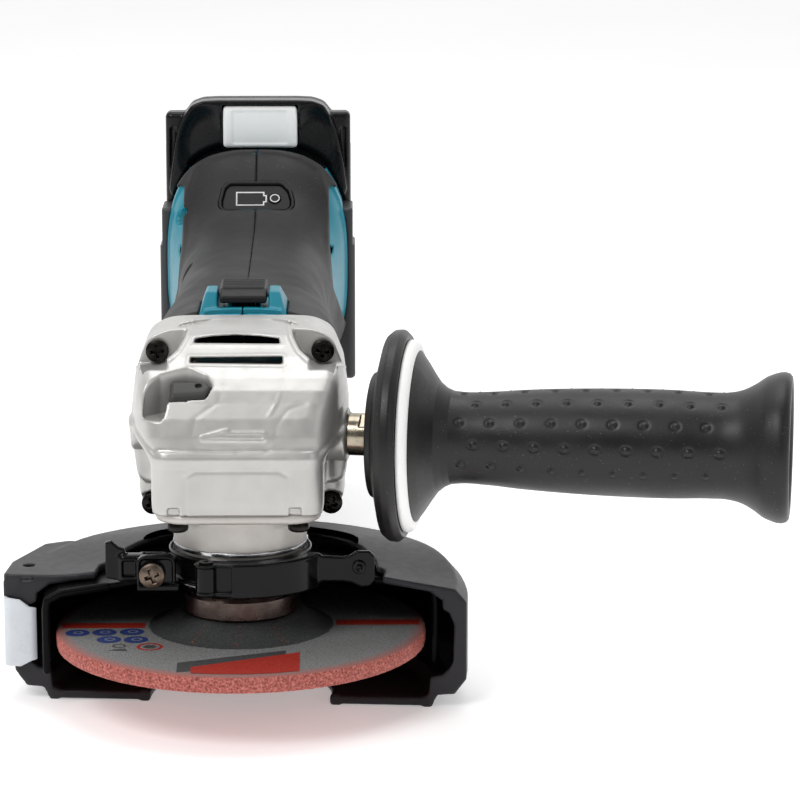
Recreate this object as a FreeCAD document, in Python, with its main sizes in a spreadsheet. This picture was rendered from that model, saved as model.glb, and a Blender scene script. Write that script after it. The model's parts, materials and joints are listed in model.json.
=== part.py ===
import FreeCAD, Part
import math
import os
import re

import Sketcher
from FreeCAD import Placement, Rotation, Vector

# Cordless angle grinder with a 125 mm wheel, in millimetres.
# It is laid out with the wheel's seat at height 0, the spindle along Z, the motor running
# back along +Y and the side handle to +X. Every sub-part's Placement then lifts it by
# seat_height, so that the origin of the finished part is in the free end of the spindle.

DRIVING = {
    # frame
    "seat_height": 14.5,
    "rotor_height": 60,
    "handle_height": 61.5,
    "handle_lead": 9,
    "guard_turn": 4.5,
    "slip": 0.06,
    # wheel, flange and nut
    "wheel_radius": 62.5,
    "wheel_thickness": 6,
    "wheel_bore": 11.2,
    "wheel_drop": 5.6,
    "wheel_hub_flat": 20.5,
    "wheel_hub_radius": 29,
    "flange_radius": 19.75,
    "flange_height": 8,
    "pilot_radius": 11,
    "pilot_depth": 2.5,
    "nut_radius": 17,
    "nut_height": 6.5,
    # spindle
    "thread_radius": 7,
    "thread_stub": 4,
    "thread_under_nut": 6.8,
    "shoulder_radius": 9,
    "spindle_radius": 6,
    "spindle_top_radius": 4,
    "spindle_top": 73,
    "spindle_bearing_low": 23,
    "spindle_bearing_width": 10,
    "spindle_bearing_radius": 16,
    # bevel gears
    "gear_teeth": 37,
    "pinion_teeth": 11,
    "tooth_module": 1,
    "tooth_face": 5,
    "gear_low": 42,
    "gear_web_top": 52,
    "lock_hole_circle": 9.6,
    "lock_hole_radius": 2.6,
    "lock_pin_radius": 2.2,
    # bearing box
    "neck_radius": 22.5,
    "collar_radius": 21.5,
    "neck_low": 11,
    "collar_top": 23.4,
    "box_low": 35.5,
    "box_split": 38.8,
    "box_half": 28,
    # gear housing
    "head_half": 36.8,
    "head_back": 45,
    "head_top": 93.4,
    "head_low": 26.5,
    "ridge_height": 57.5,
    "gear_room_radius": 22.5,
    "gear_room_top": 64,
    "fan_room_radius": 29.5,
    "front_bearing_radius": 13,
    "front_bearing_at": 24,
    "front_bearing_width": 8,
    # motor
    "stator_radius": 27,
    "stator_bore": 13.6,
    "rotor_radius": 13,
    "stack_at": 57,
    "stack_length": 40,
    "shaft_radius": 5,
    "rear_bearing_at": 104,
    "rear_bearing_width": 6,
    "rear_bearing_radius": 9.5,
    "fan_at": 37,
    "fan_length": 10,
    "fan_radius": 26.5,
    # housing
    "foot_half": 39.2,
    "foot_low": 29,
    "foot_top": 99,
    "foot_back": 262,
    "rubber_thickness": 1.6,
    "screw_radius": 2,
    # switch
    "slider_at": 50,
    "slider_length": 24,
    "slider_half": 8.2,
    "slider_top": 100.5,
    # battery
    "battery_half": 37.5,
    "battery_low": 24.6,
    "battery_top": 139.8,
    "battery_shoulder": 122.6,
    "battery_back": 329,
    "battery_wall": 2.5,
    "cell_radius": 9.1,
    "cell_length": 65,
    # guard
    "guard_radius": 67,
    "guard_steel": 2,
    "guard_plate_top": 12.4,
    "guard_low": -20,
    "band_top": 22.4,
    "band_radius": 23.4,
    "cover_radius": 77,
    "cover_wall": 2,
    "cover_top": 14.6,
    "cover_low": -31.6,
    "cover_top_opening": 46,
    "cover_low_opening": 30,
    # side handle
    "bolt_radius": 4,
    "sleeve_radius": 7.15,
    "boss_end": 37,
    "spare_bore_radius": 3.4,
    "spare_bore_depth": 13,
    "grip_end": 184,
}

doc = FreeCAD.newDocument("angle_grinder")
sheet = doc.addObject("Spreadsheet::Sheet", "Dims")
for row, (word, size) in enumerate(DRIVING.items(), start=1):
    sheet.set(f"A{row}", word)
    sheet.set(f"B{row}", str(size))
    sheet.setAlias(f"B{row}", word)
doc.recompute()

sub_parts = []
ALONG_Z = Rotation()
ALONG_Y = Rotation(Vector(1, 0, 0), -90)
ALONG_X = Rotation(Vector(0, 1, 0), 90)


def size(word):
    """The value of one driving dimension, read from the sheet."""
    return float(sheet.get(word))


def linked(text):
    """An expression in which every driving dimension's name points at the sheet."""
    def point(match):
        word = match.group()
        return "Dims." + word if word in DRIVING else word
    return re.sub(r"[a-z][a-z_0-9]*", point, str(text))


def place(item, at=(0, 0, 0), turn=ALONG_Z):
    """Give an object its direction, and bind its position."""
    item.Placement = Placement(Vector(), turn)
    for letter, text in zip("xyz", at):
        item.setExpression("Placement.Base." + letter, linked(text))
    return item


def box(name, low, sizes, turn=ALONG_Z):
    """A block from its lowest corner and its three sizes."""
    item = doc.addObject("Part::Box", name)
    for side, text in zip(("Length", "Width", "Height"), sizes):
        item.setExpression(side, linked(text))
    return place(item, low, turn)


def cylinder(name, radius, length, at=(0, 0, 0), turn=ALONG_Z, angle=360):
    """A round bar, or a wedge of one."""
    item = doc.addObject("Part::Cylinder", name)
    item.setExpression("Radius", linked(radius))
    item.setExpression("Height", linked(length))
    item.Angle = angle
    return place(item, at, turn)


def joined(name, items):
    """Several solids made one."""
    item = doc.addObject("Part::MultiFuse", name)
    item.Shapes = items
    return item


def cut(name, base, tools):
    """One solid with others taken away."""
    item = doc.addObject("Part::Cut", name)
    item.Base = base
    item.Tool = joined(name + "_tools", tools) if len(tools) > 1 else tools[0]
    return item


def shared(name, items):
    """What several solids have in common."""
    item = doc.addObject("Part::MultiCommon", name)
    item.Shapes = items
    return item


def group(name, items):
    """Separate solids kept together as one sub-part."""
    item = doc.addObject("Part::Compound", name)
    item.Links = items
    return item


def shaped(name, shape):
    """A piece whose shape is set in code from sizes read from the sheet."""
    item = doc.addObject("Part::Feature", name)
    item.Shape = Part.makeCompound(shape.Solids)
    return item


def outline(body, name, role, points):
    """A closed sketch of straight lines; each corner's two coordinates are bound expressions."""
    sketch = body.newObject("Sketcher::SketchObject", name)
    plane = next(f for f in body.Origin.OriginFeatures if f.Role == role)
    sketch.AttachmentSupport = [(plane, "")]
    sketch.MapMode = "FlatFace"
    count = len(points)
    ring = [Vector(math.cos(2 * math.pi * i / count), math.sin(2 * math.pi * i / count), 0)
            for i in range(count)]
    for i in range(count):
        sketch.addGeometry(Part.LineSegment(ring[i], ring[(i + 1) % count]), False)
    for i in range(count):
        sketch.addConstraint(Sketcher.Constraint("Coincident", i, 2, (i + 1) % count, 1))
    for i, corner in enumerate(points):
        for kind, text in zip(("DistanceX", "DistanceY"), corner):
            index = sketch.addConstraint(Sketcher.Constraint(kind, -1, 1, i, 1, 1.0))
            sketch.renameConstraint(index, f"{kind[-1].lower()}{i}")
            sketch.setExpression(f"Constraints.{kind[-1].lower()}{i}", linked(text))
    return sketch


TURNING = {"Z": ("XZ_Plane", "V_Axis"), "Y": ("YZ_Plane", "H_Axis"), "X": ("XY_Plane", "H_Axis")}


def turned(name, axis, points):
    """A lathe-turned body. Corners are (radius, height) about Z, else (station, radius)."""
    body = doc.addObject("PartDesign::Body", name)
    role, line = TURNING[axis]
    sketch = outline(body, name + "_outline", role, points)
    spin = body.newObject("PartDesign::Revolution", name + "_turning")
    spin.Profile = sketch
    spin.ReferenceAxis = (sketch, [line])
    spin.Angle = 360
    return body


def ring(name, axis, inner, outer, start, end):
    """A plain ring between two radii and two stations."""
    corners = [(inner, start), (outer, start), (outer, end), (inner, end)]
    if axis != "Z":
        corners = [(station, radius) for radius, station in corners]
    return turned(name, axis, corners)


def plate(name, role, points, length):
    """A straight-sided body padded evenly to both sides of an origin plane."""
    body = doc.addObject("PartDesign::Body", name)
    sketch = outline(body, name + "_outline", role, points)
    pad = body.newObject("PartDesign::Pad", name + "_pad")
    pad.Profile = sketch
    pad.setExpression("Length", linked(length))
    pad.Midplane = True
    return body


def sub_part(item, lift="0", turn=ALONG_Z):
    """Name a finished piece as a sub-part and lift it into the part's own frame."""
    place(item, (0, 0, f"seat_height + {lift}"), turn)
    item.Label = item.Name
    sub_parts.append(item)
    return item


def about_rotor(item):
    """A sub-part turned about the motor's axis."""
    return sub_part(item, "rotor_height")


def in_place(item):
    """A sub-part that is a lone primitive, wrapped so that its own position stays bound."""
    item.Label = item.Name + "_solid"
    whole = group(item.Name + "_whole", [item])
    name = item.Name.removesuffix("_solid")
    sub_part(whole)
    whole.Label = name
    return whole


def mirrored_x(points):
    """Corners on the +X side followed by their mirror images, as one closed outline."""
    return points + [(f"-({x})", y) for x, y in reversed(points)]


# ---------------------------------------------------------------- spindle and wheel

def make_spindle():
    return sub_part(turned("spindle", "Z", [
        ("0", "-wheel_thickness - nut_height - thread_stub"),
        ("thread_radius", "-wheel_thickness - nut_height - thread_stub"),
        ("thread_radius", "-wheel_thickness - nut_height"),
        ("thread_under_nut", "-wheel_thickness - nut_height"),
        ("thread_under_nut", "flange_height"),
        ("shoulder_radius", "flange_height"),
        ("shoulder_radius", "spindle_bearing_low"),
        ("spindle_radius", "spindle_bearing_low"),
        ("spindle_radius", "gear_web_top + 4"),
        ("spindle_top_radius", "gear_web_top + 4"),
        ("spindle_top_radius", "spindle_top"),
        ("0", "spindle_top"),
    ]))


def make_wheel_clamping():
    sub_part(turned("inner_flange", "Z", [
        ("thread_under_nut", "-pilot_depth"),
        ("pilot_radius", "-pilot_depth"),
        ("pilot_radius", "0"),
        ("flange_radius", "0"),
        ("flange_radius", "flange_height - 1.5"),
        ("flange_radius - 1.2", "flange_height"),
        ("thread_under_nut", "flange_height"),
    ]))
    sub_part(turned("grinding_wheel", "Z", [
        ("wheel_bore", "-wheel_thickness"),
        ("wheel_hub_flat - 1", "-wheel_thickness"),
        ("wheel_hub_radius - 1", "-wheel_drop - wheel_thickness"),
        ("wheel_radius", "-wheel_drop - wheel_thickness"),
        ("wheel_radius", "-wheel_drop"),
        ("wheel_hub_radius", "-wheel_drop"),
        ("wheel_hub_flat", "0"),
        ("wheel_bore", "0"),
    ]))
    blank = turned("lock_nut_blank", "Z", [
        ("thread_under_nut", "-wheel_thickness - nut_height"),
        ("nut_radius - 3", "-wheel_thickness - nut_height"),
        ("nut_radius - 3", "-wheel_thickness - 3"),
        ("nut_radius", "-wheel_thickness - 3"),
        ("nut_radius", "-wheel_thickness"),
        ("thread_under_nut", "-wheel_thickness"),
    ])
    holes = [cylinder(f"nut_hole_{side}", "1.8", "4",
                      (0, f"{sign}10.5", "-wheel_thickness - nut_height - 0.5"))
             for side, sign in (("front", "-"), ("back", ""))]
    sub_part(cut("lock_nut", blank, holes))


def make_spindle_bearings():
    low, high = "spindle_bearing_low", "spindle_bearing_low + spindle_bearing_width"
    sub_part(ring("spindle_bearing_inner_ring", "Z", "spindle_radius", "shoulder_radius", low, high))
    sub_part(ring("spindle_bearing_outer_ring", "Z", "spindle_bearing_radius - 3",
                  "spindle_bearing_radius", low, high))
    sub_part(ring("bearing_retainer", "Z", "shoulder_radius + 1", "spindle_bearing_radius",
                  high, "box_low + 1"))
    sub_part(ring("needle_bearing", "Z", "spindle_top_radius + slip", "spindle_top_radius + 2",
                  "gear_room_top + 0.5", "gear_room_top + 8.5"))
    sub_part(ring("gear_retaining_ring", "Z", "spindle_radius", "spindle_radius + 0.9",
                  "gear_web_top", "gear_web_top + 1.2"))


def ball_circle(count, ball_radius, circle_radius, centre, normal):
    """Ball solids spaced evenly on a circle."""
    turn = Rotation(Vector(0, 0, 1), normal)
    spots = [2 * math.pi * i / count for i in range(count)]
    return [Part.makeSphere(ball_radius, centre + turn.multVec(
        Vector(circle_radius * math.cos(a), circle_radius * math.sin(a), 0))) for a in spots]


def make_bearing_balls():
    middle = size("spindle_bearing_low") + size("spindle_bearing_width") / 2
    front = size("front_bearing_at") + size("front_bearing_width") / 2
    rear = size("rear_bearing_at") + size("rear_bearing_width") / 2
    axis_height = size("rotor_height")
    balls = ball_circle(8, 1.9, 11, Vector(0, 0, middle), Vector(0, 0, 1))
    balls += ball_circle(8, 2.1, 8.75, Vector(0, front, axis_height), Vector(0, 1, 0))
    balls += ball_circle(8, 1.25, 6.6, Vector(0, rear, axis_height), Vector(0, 1, 0))
    sub_part(shaped("bearing_balls", Part.makeCompound(balls)))


# ---------------------------------------------------------------- bevel gears
# Both gears' teeth are cones of one flat section each, shrunk towards the shared apex where
# the spindle's and the rotor's axes cross. The pinion has a long addendum and the crown gear
# a short one, which keeps eleven teeth free of undercut.

GEAR_ADDENDUM = 0.55
GEAR_DEDENDUM = 1.3
PINION_ADDENDUM = 1.1
PINION_DEDENDUM = 0.8
TOOTH_FILL = 0.86
PRESSURE_ANGLE = math.radians(20)
LOCK_HOLES = 4


def tapered_tooth(corners, apex, ratio):
    """A tooth between its outer section and the same section shrunk towards the apex."""
    inner = [apex + (corner - apex) * ratio for corner in corners]
    wires = [Part.makePolygon(points + [points[0]]) for points in (corners, inner)]
    return Part.makeLoft(wires, True, True)


def make_crown_gear():
    module = size("tooth_module")
    teeth = int(size("gear_teeth"))
    outer = module * teeth / 2
    inner = outer - size("tooth_face")
    pitch_drop = module * size("pinion_teeth") / 2
    apex_height = size("rotor_height")
    root_slope = (pitch_drop + GEAR_DEDENDUM * module) / outer
    web_top = size("gear_web_top")
    low = size("gear_low")
    bore = size("spindle_radius")
    rim = outer + 0.3
    profile = [(bore, low), (bore + 6, low), (rim, low + 6), (rim, apex_height - rim * root_slope),
               (inner - 0.3, apex_height - (inner - 0.3) * root_slope),
               (inner - 0.6, web_top), (bore, web_top)]
    corners = [Vector(x, 0, z) for x, z in profile]
    face = Part.Face(Part.makePolygon(corners + [corners[0]]))
    blank = face.revolve(Vector(), Vector(0, 0, 1), 360)
    half_pitch = module * math.pi / 4 * TOOTH_FILL
    lean = math.tan(PRESSURE_ANGLE)
    tip, root = GEAR_ADDENDUM * module, -(GEAR_DEDENDUM + 0.15) * module
    section = [Vector(outer, side * (half_pitch - rise * lean), apex_height - pitch_drop + rise)
               for side, rise in ((1, root), (1, tip), (-1, tip), (-1, root))]
    apex = Vector(0, 0, apex_height)
    tooth = tapered_tooth(section, apex, inner / outer)
    toothed = []
    for i in range(teeth):
        copy = tooth.copy()
        # a gap, not a tooth, faces the pinion at +Y
        copy.rotate(Vector(), Vector(0, 0, 1), 90 + 360 / teeth * (i + 0.5))
        toothed.append(copy)
    gear = blank.fuse(toothed)
    circle, hole = size("lock_hole_circle"), size("lock_hole_radius")
    pin = lock_pin_spot()
    first = math.degrees(math.atan2(pin.y, pin.x))
    for i in range(LOCK_HOLES):
        drill = Part.makeCylinder(hole, 6, Vector(circle, 0, web_top - 6), Vector(0, 0, 1))
        drill.rotate(Vector(), Vector(0, 0, 1), first + 360 / LOCK_HOLES * i)
        gear = gear.cut(drill)
    sub_part(shaped("crown_gear", gear.removeSplitter()))


def lock_pin_spot():
    """Where the shaft lock's pin stands, seen from above: ahead and to the left."""
    circle = size("lock_hole_circle")
    angle = math.radians(212)
    return Vector(circle * math.cos(angle), circle * math.sin(angle), 0)


def make_drive_pinion():
    module = size("tooth_module")
    teeth = int(size("pinion_teeth"))
    pitch = module * teeth / 2
    outer = module * size("gear_teeth") / 2
    inner = outer - size("tooth_face")
    shrink = inner / outer
    base = pitch * math.cos(PRESSURE_ANGLE)
    tip, root = pitch + PINION_ADDENDUM * module, pitch - PINION_DEDENDUM * module
    bore = size("shaft_radius") / 2
    apex = Vector(0, 0, size("rotor_height"))
    shank_end = size("front_bearing_at")

    def half_angle(radius):
        slope = math.acos(min(1.0, base / radius))
        start = math.tan(PRESSURE_ANGLE) - PRESSURE_ANGLE
        return math.pi / 2 / teeth * TOOTH_FILL + start - (math.tan(slope) - slope)

    steps = [root - 0.2, base, (base + pitch) / 2, pitch, (pitch + tip) / 2, tip]
    right = [(radius, half_angle(max(radius, base))) for radius in steps]
    whole = right + [(radius, -angle) for radius, angle in reversed(right)]
    section = [apex + Vector(r * math.sin(a), outer, -r * math.cos(a)) for r, a in whole]
    tooth = tapered_tooth(section, apex, shrink)
    profile = [(inner, bore), (inner, root * shrink), (outer, root), (outer, pitch + 0.5),
               (shank_end, pitch + 0.5), (shank_end, bore)]
    corners = [Vector(0, y, apex.z + r) for y, r in profile]
    face = Part.Face(Part.makePolygon(corners + [corners[0]]))
    blank = face.revolve(apex, Vector(0, 1, 0), 360)
    toothed = []
    for i in range(teeth):
        copy = tooth.copy()
        copy.rotate(apex, Vector(0, 1, 0), 360 / teeth * i)
        toothed.append(copy)
    sub_part(shaped("drive_pinion", blank.fuse(toothed).removeSplitter()))


# ---------------------------------------------------------------- motor

def make_rotor():
    about_rotor(turned("rotor_shaft", "Y", [
        ("gear_teeth * tooth_module / 2 - tooth_face - 1", "0"),
        ("gear_teeth * tooth_module / 2 - tooth_face - 1", "shaft_radius / 2"),
        ("front_bearing_at", "shaft_radius / 2"),
        ("front_bearing_at", "shaft_radius - 0.5"),
        ("front_bearing_at + front_bearing_width", "shaft_radius - 0.5"),
        ("front_bearing_at + front_bearing_width", "shaft_radius"),
        ("rear_bearing_at", "shaft_radius"),
        ("rear_bearing_at", "shaft_radius - 1.5"),
        ("rear_bearing_at + rear_bearing_width", "shaft_radius - 1.5"),
        ("rear_bearing_at + rear_bearing_width", "0"),
    ]))
    about_rotor(ring("rotor_core", "Y", "shaft_radius", "rotor_radius",
                     "stack_at", "stack_at + stack_length"))


def make_rotor_bearings():
    front = ("front_bearing_at", "front_bearing_at + front_bearing_width")
    rear = ("rear_bearing_at", "rear_bearing_at + rear_bearing_width")
    about_rotor(group("rotor_bearing_inner_rings", [
        ring("front_inner_ring", "Y", "shaft_radius - 0.5", "6.5", *front),
        ring("rear_inner_ring", "Y", "shaft_radius - 1.5", "5.2", *rear),
    ]))
    about_rotor(group("rotor_bearing_outer_rings", [
        ring("front_outer_ring", "Y", "11", "front_bearing_radius", *front),
        ring("rear_outer_ring", "Y", "8", "rear_bearing_radius", *rear),
    ]))


def make_fan():
    """A centrifugal fan: hub, back disc and straight blades."""
    start, length = size("fan_at"), size("fan_length")
    axis = Vector(0, 1, 0)
    hub = Part.makeCylinder(9, length, Vector(0, start, 0), axis)
    disc = Part.makeCylinder(size("fan_radius"), 1.6, Vector(0, start + length - 1.6, 0), axis)
    blades = []
    for i in range(13):
        blade = Part.makeBox(1.4, length, size("fan_radius") - 13)
        blade.translate(Vector(-0.7, start, 12.5))
        blade.rotate(Vector(), axis, 360 / 13 * i)
        blades.append(blade)
    bore = Part.makeCylinder(size("shaft_radius"), length, Vector(0, start, 0), axis)
    about_rotor(shaped("cooling_fan", hub.fuse([disc] + blades).cut(bore)))


SLOTS = 6


def make_stator():
    """Laminated ring with six poles, and a coil round each pole."""
    axis = Vector(0, 1, 0)
    start, length = size("stack_at"), size("stack_length")
    outer, bore = size("stator_radius"), size("stator_bore")
    yoke = outer - 5
    core = Part.makeCylinder(outer, length, Vector(0, start, 0), axis).cut(
        Part.makeCylinder(yoke, length, Vector(0, start, 0), axis))
    poles, coils = [], []
    for i in range(SLOTS):
        pole = Part.makeBox(7, length, yoke - bore + 1)
        pole.translate(Vector(-3.5, start, bore))
        coil = Part.makeBox(13, length + 8, yoke - bore - 4)
        coil.translate(Vector(-6.5, start - 4, bore + 3))
        window = Part.makeBox(7.1, length + 0.2, yoke)
        window.translate(Vector(-3.55, start - 0.1, bore))
        coil = coil.cut(window)
        for piece in (pole, coil):
            piece.rotate(Vector(), axis, 360 / SLOTS * i)
        poles.append(pole)
        coils.append(coil)
    hole = Part.makeCylinder(bore, length, Vector(0, start, 0), axis)
    about_rotor(shaped("stator_core", core.fuse(poles).cut(hole)))
    about_rotor(shaped("stator_windings", Part.makeCompound(coils)))
    about_rotor(ring("fan_baffle", "Y", "12", "stator_radius + 1", "fan_at + fan_length + 2",
                     "fan_at + fan_length + 4"))


# ---------------------------------------------------------------- gear housing and bearing box

def screw_set(name, spots, head_radius, head_length, shank, turn, length):
    """Identical pan-head screws. A spot is the joint between head and shank."""
    screws = []
    for i, (x, y, z) in enumerate(spots):
        shank_bar = cylinder(f"{name}_shank_{i}", shank, length, (x, y, z), turn)
        if turn is ALONG_Z:
            low = (x, y, f"({z}) - {head_length}")
        elif turn is ALONG_Y:
            low = (x, f"({y}) - {head_length}", z)
        else:
            low = (f"({x}) - {head_length}", y, z)
        head = cylinder(f"{name}_head_{i}", head_radius, head_length, low, turn)
        screws.append(joined(f"{name}_{i}", [shank_bar, head]))
    return group(name, screws)


def holes_for(name, spots, radius, turn, length):
    """Drill solids that match a screw set's shanks."""
    return [cylinder(f"{name}_hole_{i}", radius, length, spot, turn) for i, spot in enumerate(spots)]


BOX_SCREWS = [(x, y, "box_low") for x in ("-20", "20") for y in ("-20", "20")]
UPPER_SCREWS = [(x, "18", "85.5") for x in ("-28", "28")]
LOWER_SCREWS = [(x, "24", "31.2") for x in ("-30.5", "30.5")]


def make_bearing_box():
    neck = turned("neck", "Z", [
        ("13", "neck_low"),
        ("collar_radius", "neck_low"),
        ("collar_radius", "collar_top"),
        ("neck_radius", "collar_top"),
        ("neck_radius", "box_split"),
        ("spindle_bearing_radius", "box_split"),
        ("spindle_bearing_radius", "spindle_bearing_low"),
        ("13", "spindle_bearing_low"),
    ])
    slab = box("box_plate", ("-box_half", "-box_half", "box_low"),
               ("2 * box_half", "2 * box_half - 4", "box_split - box_low"))
    bore = cylinder("plate_bore", "neck_radius - 3", "10", (0, 0, "box_low - 1"))
    plated = cut("drilled_plate", slab, [bore] + holes_for("plate", BOX_SCREWS, "screw_radius",
                                                            ALONG_Z, "10"))
    sub_part(joined("bearing_box", [neck, plated]))
    sub_part(screw_set("bearing_box_screws", BOX_SCREWS, "3.7", "3.2", "screw_radius",
                       ALONG_Z, "13"))


def make_gear_housing():
    side_view = plate("head_side_view", "YZ_Plane", [
        ("head_back", "head_low"),
        ("head_back", "head_top"),
        ("8", "head_top - 0.8"),
        ("-5", "head_top - 6"),
        ("-15", "head_top - 11.5"),
        ("-21.5", "head_top - 17.5"),
        ("-26.5", "65"),
        ("-box_half", "ridge_height"),
        ("-box_half", "box_split"),
        ("24", "box_split"),
        ("24", "head_low"),
    ], "2 * head_half + 2")
    front_view = plate("head_front_view", "XZ_Plane", mirrored_x([
        ("28", "head_low"),
        ("33.5", "head_low + 5"),
        ("head_half", "head_low + 24"),
        ("head_half", "rotor_height + 6"),
        ("33.5", "82"),
        ("28.5", "head_top - 3"),
        ("20", "head_top"),
    ]), "4 * head_back")
    top_view = plate("head_top_view", "XY_Plane", mirrored_x([
        ("24", "-box_half"),
        ("29", "-24"),
        ("34", "-10"),
        ("head_half", "4"),
        ("head_half", "head_back"),
    ]), "4 * head_top")
    handle_turn = Rotation(Vector(0, 0, 1), -size("handle_lead")).multiply(ALONG_X)
    lead = math.radians(size("handle_lead"))

    def along_bolt(name, radius, station, length):
        """A bar on the side handle's leaning axis, from a distance along it."""
        bar = cylinder(name, radius, length, (0, 0, "handle_height"), handle_turn)
        bar.setExpression("Placement.Base.x", f"({linked(station)}) * {math.cos(lead):.6f}")
        bar.setExpression("Placement.Base.y", f"-({linked(station)}) * {math.sin(lead):.6f}")
        return bar

    mass = joined("bossed_mass", [
        shared("head_mass", [side_view, front_view, top_view]),
        along_bolt("handle_boss", "9", "boss_end - 8", "8"),
        cylinder("spare_boss", "8.5", "8", ("-boss_end", 0, "handle_height"), ALONG_X),
    ])
    tools = [
        cylinder("gear_room", "gear_room_radius", "gear_room_top - box_split + 1",
                 (0, 0, "box_split - 1")),
        cylinder("needle_pocket", "spindle_top_radius + 2", "12", (0, 0, "gear_room_top - 1")),
        cylinder("pinion_bore", "9.5", "20", (0, "10", "rotor_height"), ALONG_Y),
        cylinder("front_pocket", "front_bearing_radius", "head_back",
                 (0, "front_bearing_at", "rotor_height"), ALONG_Y),
        cylinder("fan_room", "fan_room_radius", "20", (0, "34", "rotor_height"), ALONG_Y),
        box("low_vent", ("-15", "-25", "85"), ("30", "40", "2.2")),
        box("high_vent", ("-14", "-12", "89.3"), ("28", "30", "1.9")),
        box("vent_duct", ("-15", "12", "82"), ("30", "40", "9.2")),
        box("lock_pocket", ("-22.5", "-30", "70"), ("16.2", "28.2", "30")),
        box("side_step_left", ("-head_half - 1", "-40", "20"), ("head_half - box_half + 0.6", "58", "36")),
        box("side_step_right", ("box_half + 0.4", "-40", "20"), ("20", "58", "36")),
    ]
    tools += holes_for("split", BOX_SCREWS, "screw_radius", ALONG_Z, "13.5")
    tools += holes_for("upper", UPPER_SCREWS, "screw_radius", ALONG_Y, "40")
    tools += holes_for("lower", LOWER_SCREWS, "screw_radius", ALONG_Y, "40")
    tools += [cylinder(f"screw_pocket_{x}", "5.2", "40", (x, "-22", z), ALONG_Y)
              for x, y, z in UPPER_SCREWS]
    pin = lock_pin_spot()
    tools.append(cylinder("lock_pin_bore", "lock_pin_radius + slip", "20",
                          (f"{pin.x:.4f}", f"{pin.y:.4f}", "gear_room_top - 5")))
    tools.append(cylinder("lock_spring_seat", "3.8", "8", (f"{pin.x:.4f}", f"{pin.y:.4f}", "70")))
    tools.append(along_bolt("handle_bore", "bolt_radius + slip", "gear_room_radius + 1.4", "20"))
    tools.append(cylinder("spare_bore", "spare_bore_radius", "spare_bore_depth",
                          ("-boss_end", 0, "handle_height"), ALONG_X))
    sub_part(cut("gear_housing", mass, tools))
    heads = UPPER_SCREWS + LOWER_SCREWS
    sub_part(screw_set("gear_housing_screws", heads, "4", "3.4", "screw_radius", ALONG_Y, "34"))


# ---------------------------------------------------------------- shaft lock

def make_shaft_lock():
    cap = box("lock_cap", ("-22", "-22", "74.2"), ("15.2", "19.5", "5"))
    slope = box("lock_cap_slope", ("-30", "-30", "0"), ("40", "30", "30"),
                Rotation(Vector(1, 0, 0), 38))
    slope.setExpression("Placement.Base.z", "77")
    slope.setExpression("Placement.Base.y", "-22")
    sub_part(cut("lock_button", cap, [slope]))
    pin = lock_pin_spot()
    at = (f"{pin.x:.4f}", f"{pin.y:.4f}", "gear_web_top + 1")
    in_place(cylinder("lock_pin", "lock_pin_radius", "74.2 - gear_web_top - 1", at))
    coil = Part.makeCylinder(3.4, 4.2, Vector(pin.x, pin.y, 70)).cut(
        Part.makeCylinder(2.6, 4.2, Vector(pin.x, pin.y, 70)))
    sub_part(shaped("lock_spring", coil))


# ---------------------------------------------------------------- housing

# stations along Y: (distance back, half width, lowest and highest point of the section)
SECTIONS = [
    (45, 34.0, 27.0, 92.8),
    (60, 33.5, 28.5, 92.4),
    (90, 32.5, 30.0, 91.8),
    (108, 31.0, 31.0, 91.8),
    (130, 28.2, 31.8, 92.4),
    (155, 27.4, 32.6, 93.6),
    (180, 27.8, 33.0, 95.0),
    (200, 28.8, 33.0, 96.6),
    (214, 30.8, 32.6, 100.6),
    (224, 33.0, 32.0, 106.4),
    (233, 35.0, 31.2, 115.4),
    (241, 36.0, 30.5, 121.8),
]
SQUARENESS = 2.9


def section_wire(back, half, low, high, grow=0.0):
    """One closed smooth section, between an ellipse and a rectangle."""
    centre, rise = (low + high) / 2, (high - low) / 2 + grow
    points = []
    for i in range(32):
        a = 2 * math.pi * i / 32
        across = math.copysign(abs(math.cos(a)) ** (2 / SQUARENESS), math.cos(a))
        up = math.copysign(abs(math.sin(a)) ** (2 / SQUARENESS), math.sin(a))
        points.append(Vector((half + grow) * across, back, centre + rise * up))
    curve = Part.BSplineCurve()
    curve.interpolate(points, PeriodicFlag=True)
    return Part.Wire(curve.toShape())


def barrel(grow, start=0, end=None):
    """The housing's outer form, made larger by grow, over some of its sections."""
    wires = [section_wire(*spot, grow) for spot in SECTIONS[start:end]]
    return Part.makeLoft(wires, True, False)


def rear_arch(grow, start, end):
    """The housing's last section, carried straight back."""
    _, half, low, high = SECTIONS[-1]
    face = Part.Face(section_wire(start, half, low, high, grow))
    return face.extrude(Vector(0, end - start, 0))


def block(x, y, z):
    """A block from three (low, high) pairs."""
    return Part.makeBox(x[1] - x[0], y[1] - y[0], z[1] - z[0], Vector(x[0], y[0], z[0]))


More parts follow.
